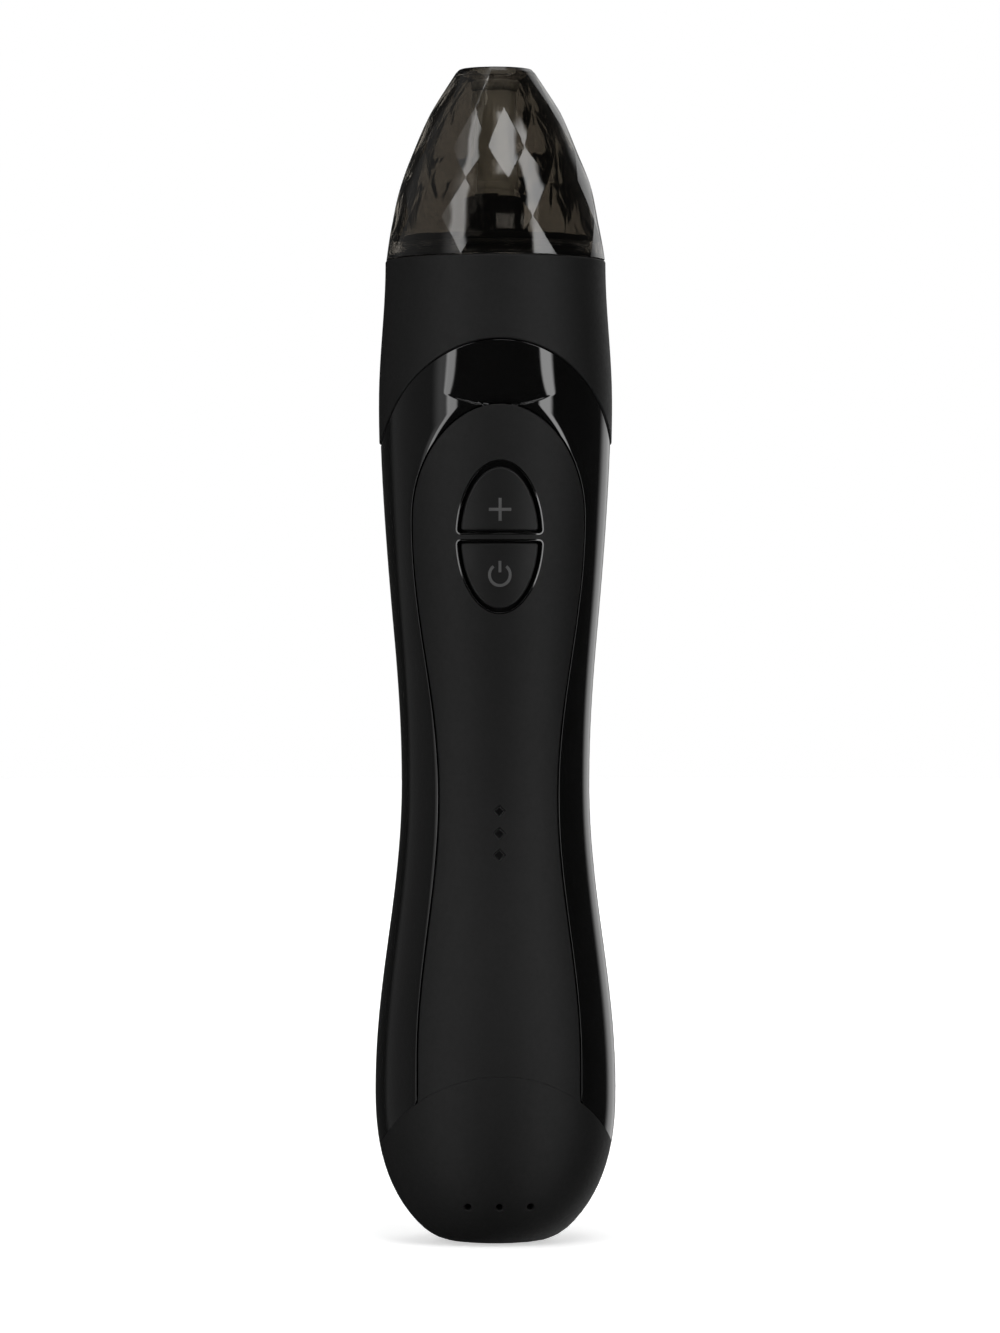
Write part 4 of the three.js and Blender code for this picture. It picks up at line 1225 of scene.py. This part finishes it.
def make_world():
    """White to the eye; to the object, a dark studio with soft boxes."""
    world = bpy.data.worlds.new("studio")
    world.use_nodes = True
    bpy.context.scene.world = world
    nodes, links = world.node_tree.nodes, world.node_tree.links
    nodes.clear()

    def math_node(kind, *values):
        made = nodes.new("ShaderNodeMath")
        made.operation = kind
        for socket, value in zip(made.inputs, values):
            if isinstance(value, (int, float)):
                socket.default_value = value
            else:
                links.new(value, socket)
        return made.outputs[0]

    def step(value, start, end):
        made = nodes.new("ShaderNodeMapRange")
        made.interpolation_type = "SMOOTHSTEP"
        links.new(value, made.inputs["Value"])
        made.inputs["From Min"].default_value = start
        made.inputs["From Max"].default_value = end
        return made.outputs["Result"]

    parts = nodes.new("ShaderNodeSeparateXYZ")
    links.new(nodes.new("ShaderNodeTexCoord").outputs["Generated"], parts.inputs["Vector"])
    x, y, z = (parts.outputs[axis] for axis in "XYZ")
    turn = math_node("DEGREES", math_node("ARCTAN2", x, math_node("MULTIPLY", y, -1.0)))
    height = math_node("DEGREES", math_node("ARCSINE", z))
    path = nodes.new("ShaderNodeLightPath")
    gloss_only = math_node("SUBTRACT", 1.0, path.outputs["Is Transmission Ray"])
    total = SURROUND
    for box in PANELS:
        off = math_node("WRAP", math_node("SUBTRACT", turn, float(box["turn"])), 180.0, -180.0)
        edges = [(-box["half"], box["soft"][0] / 2), (box["half"], -box["soft"][1] / 2)]
        across = [step(off, edge - soft, edge + soft) for edge, soft in edges if soft]
        above = step(height, box["low"] - HEIGHT_SOFT / 2, box["low"] + HEIGHT_SOFT / 2)
        below = step(height, box["high"] + HEIGHT_SOFT / 2, box["high"] - HEIGHT_SOFT / 2)
        shape = math_node("MULTIPLY", above, below)
        for part in across + ([gloss_only] if box.get("gloss") else []):
            shape = math_node("MULTIPLY", shape, part)
        total = math_node("MULTIPLY_ADD", shape, float(box["light"]), total)
    seen, lit = (nodes.new("ShaderNodeBackground") for _ in range(2))
    for backdrop in (seen, lit):
        backdrop.inputs["Color"].default_value = (1, 1, 1, 1)
    links.new(total, lit.inputs["Strength"])
    mix = nodes.new("ShaderNodeMixShader")
    links.new(path.outputs["Is Camera Ray"], mix.inputs["Fac"])
    links.new(lit.outputs["Background"], mix.inputs[1])
    links.new(seen.outputs["Background"], mix.inputs[2])
    links.new(mix.outputs["Shader"], nodes.new("ShaderNodeOutputWorld").inputs["Surface"])


def make_floor():
    work = bmesh.new()
    bmesh.ops.create_circle(work, cap_ends=True, segments=96, radius=4.0)
    data = bpy.data.meshes.new("floor")
    work.to_mesh(data)
    work.free()
    floor = in_scene("floor", data)
    floor.location.z = -0.0002
    floor.visible_glossy = False
    made = bpy.data.materials.new("pale_floor")
    made.use_nodes = True
    shader = made.node_tree.nodes["Principled BSDF"]
    shader.inputs["Base Color"].default_value = (0.86, 0.86, 0.86, 1)
    shader.inputs["Roughness"].default_value = 0.9
    shader.inputs["Specular IOR Level"].default_value = 0.0
    path = made.node_tree.nodes.new("ShaderNodeLightPath")
    shader.inputs["Emission Color"].default_value = (1, 1, 1, 1)
    lift = made.node_tree.nodes.new("ShaderNodeMath")
    lift.operation = "MULTIPLY"
    lift.inputs[1].default_value = 0.55
    made.node_tree.links.new(path.outputs["Is Camera Ray"], lift.inputs[0])
    made.node_tree.links.new(lift.outputs[0], shader.inputs["Emission Strength"])
    data.materials.append(made)


def make_lamps():
    """Wide soft fills that light the matt body without mirroring in the gloss."""
    for name, location, size, power in (
        ("fill_front", (-0.9, -1.25, 0.9), 0.9, 2.7),
        ("fill_top", (0.0, -0.2, 1.3), 1.0, 2.6),
        ("fill_back", (0.0, 1.5, 0.7), 0.9, 3.2),
    ):
        data = bpy.data.lights.new(name, "AREA")
        data.shape, data.size, data.energy = "DISK", size, power
        lamp = in_scene(name, data)
        lamp.location = location
        aim = Vector((0, 0, 0.09)) - Vector(location)
        lamp.rotation_mode = "QUATERNION"
        lamp.rotation_quaternion = aim.to_track_quat("-Z", "Y")
        lamp.visible_glossy = False
        lamp.visible_camera = False


# ---------------------------------------------------------------- the wand

make_camera()
make_collar()
make_side_frame()
make_front_cover()
make_rear_cover()
make_base_cover()
make_button("plus_button", True)
make_button("power_button", False)
make_plus_mark()
make_power_mark()
make_lenses()
make_cap()
make_tip()
make_post()
make_deck()
make_screws()
dress_nodes()
make_floor()
make_world()
make_lamps()
bpy.context.scene.view_settings.view_transform = "Standard"
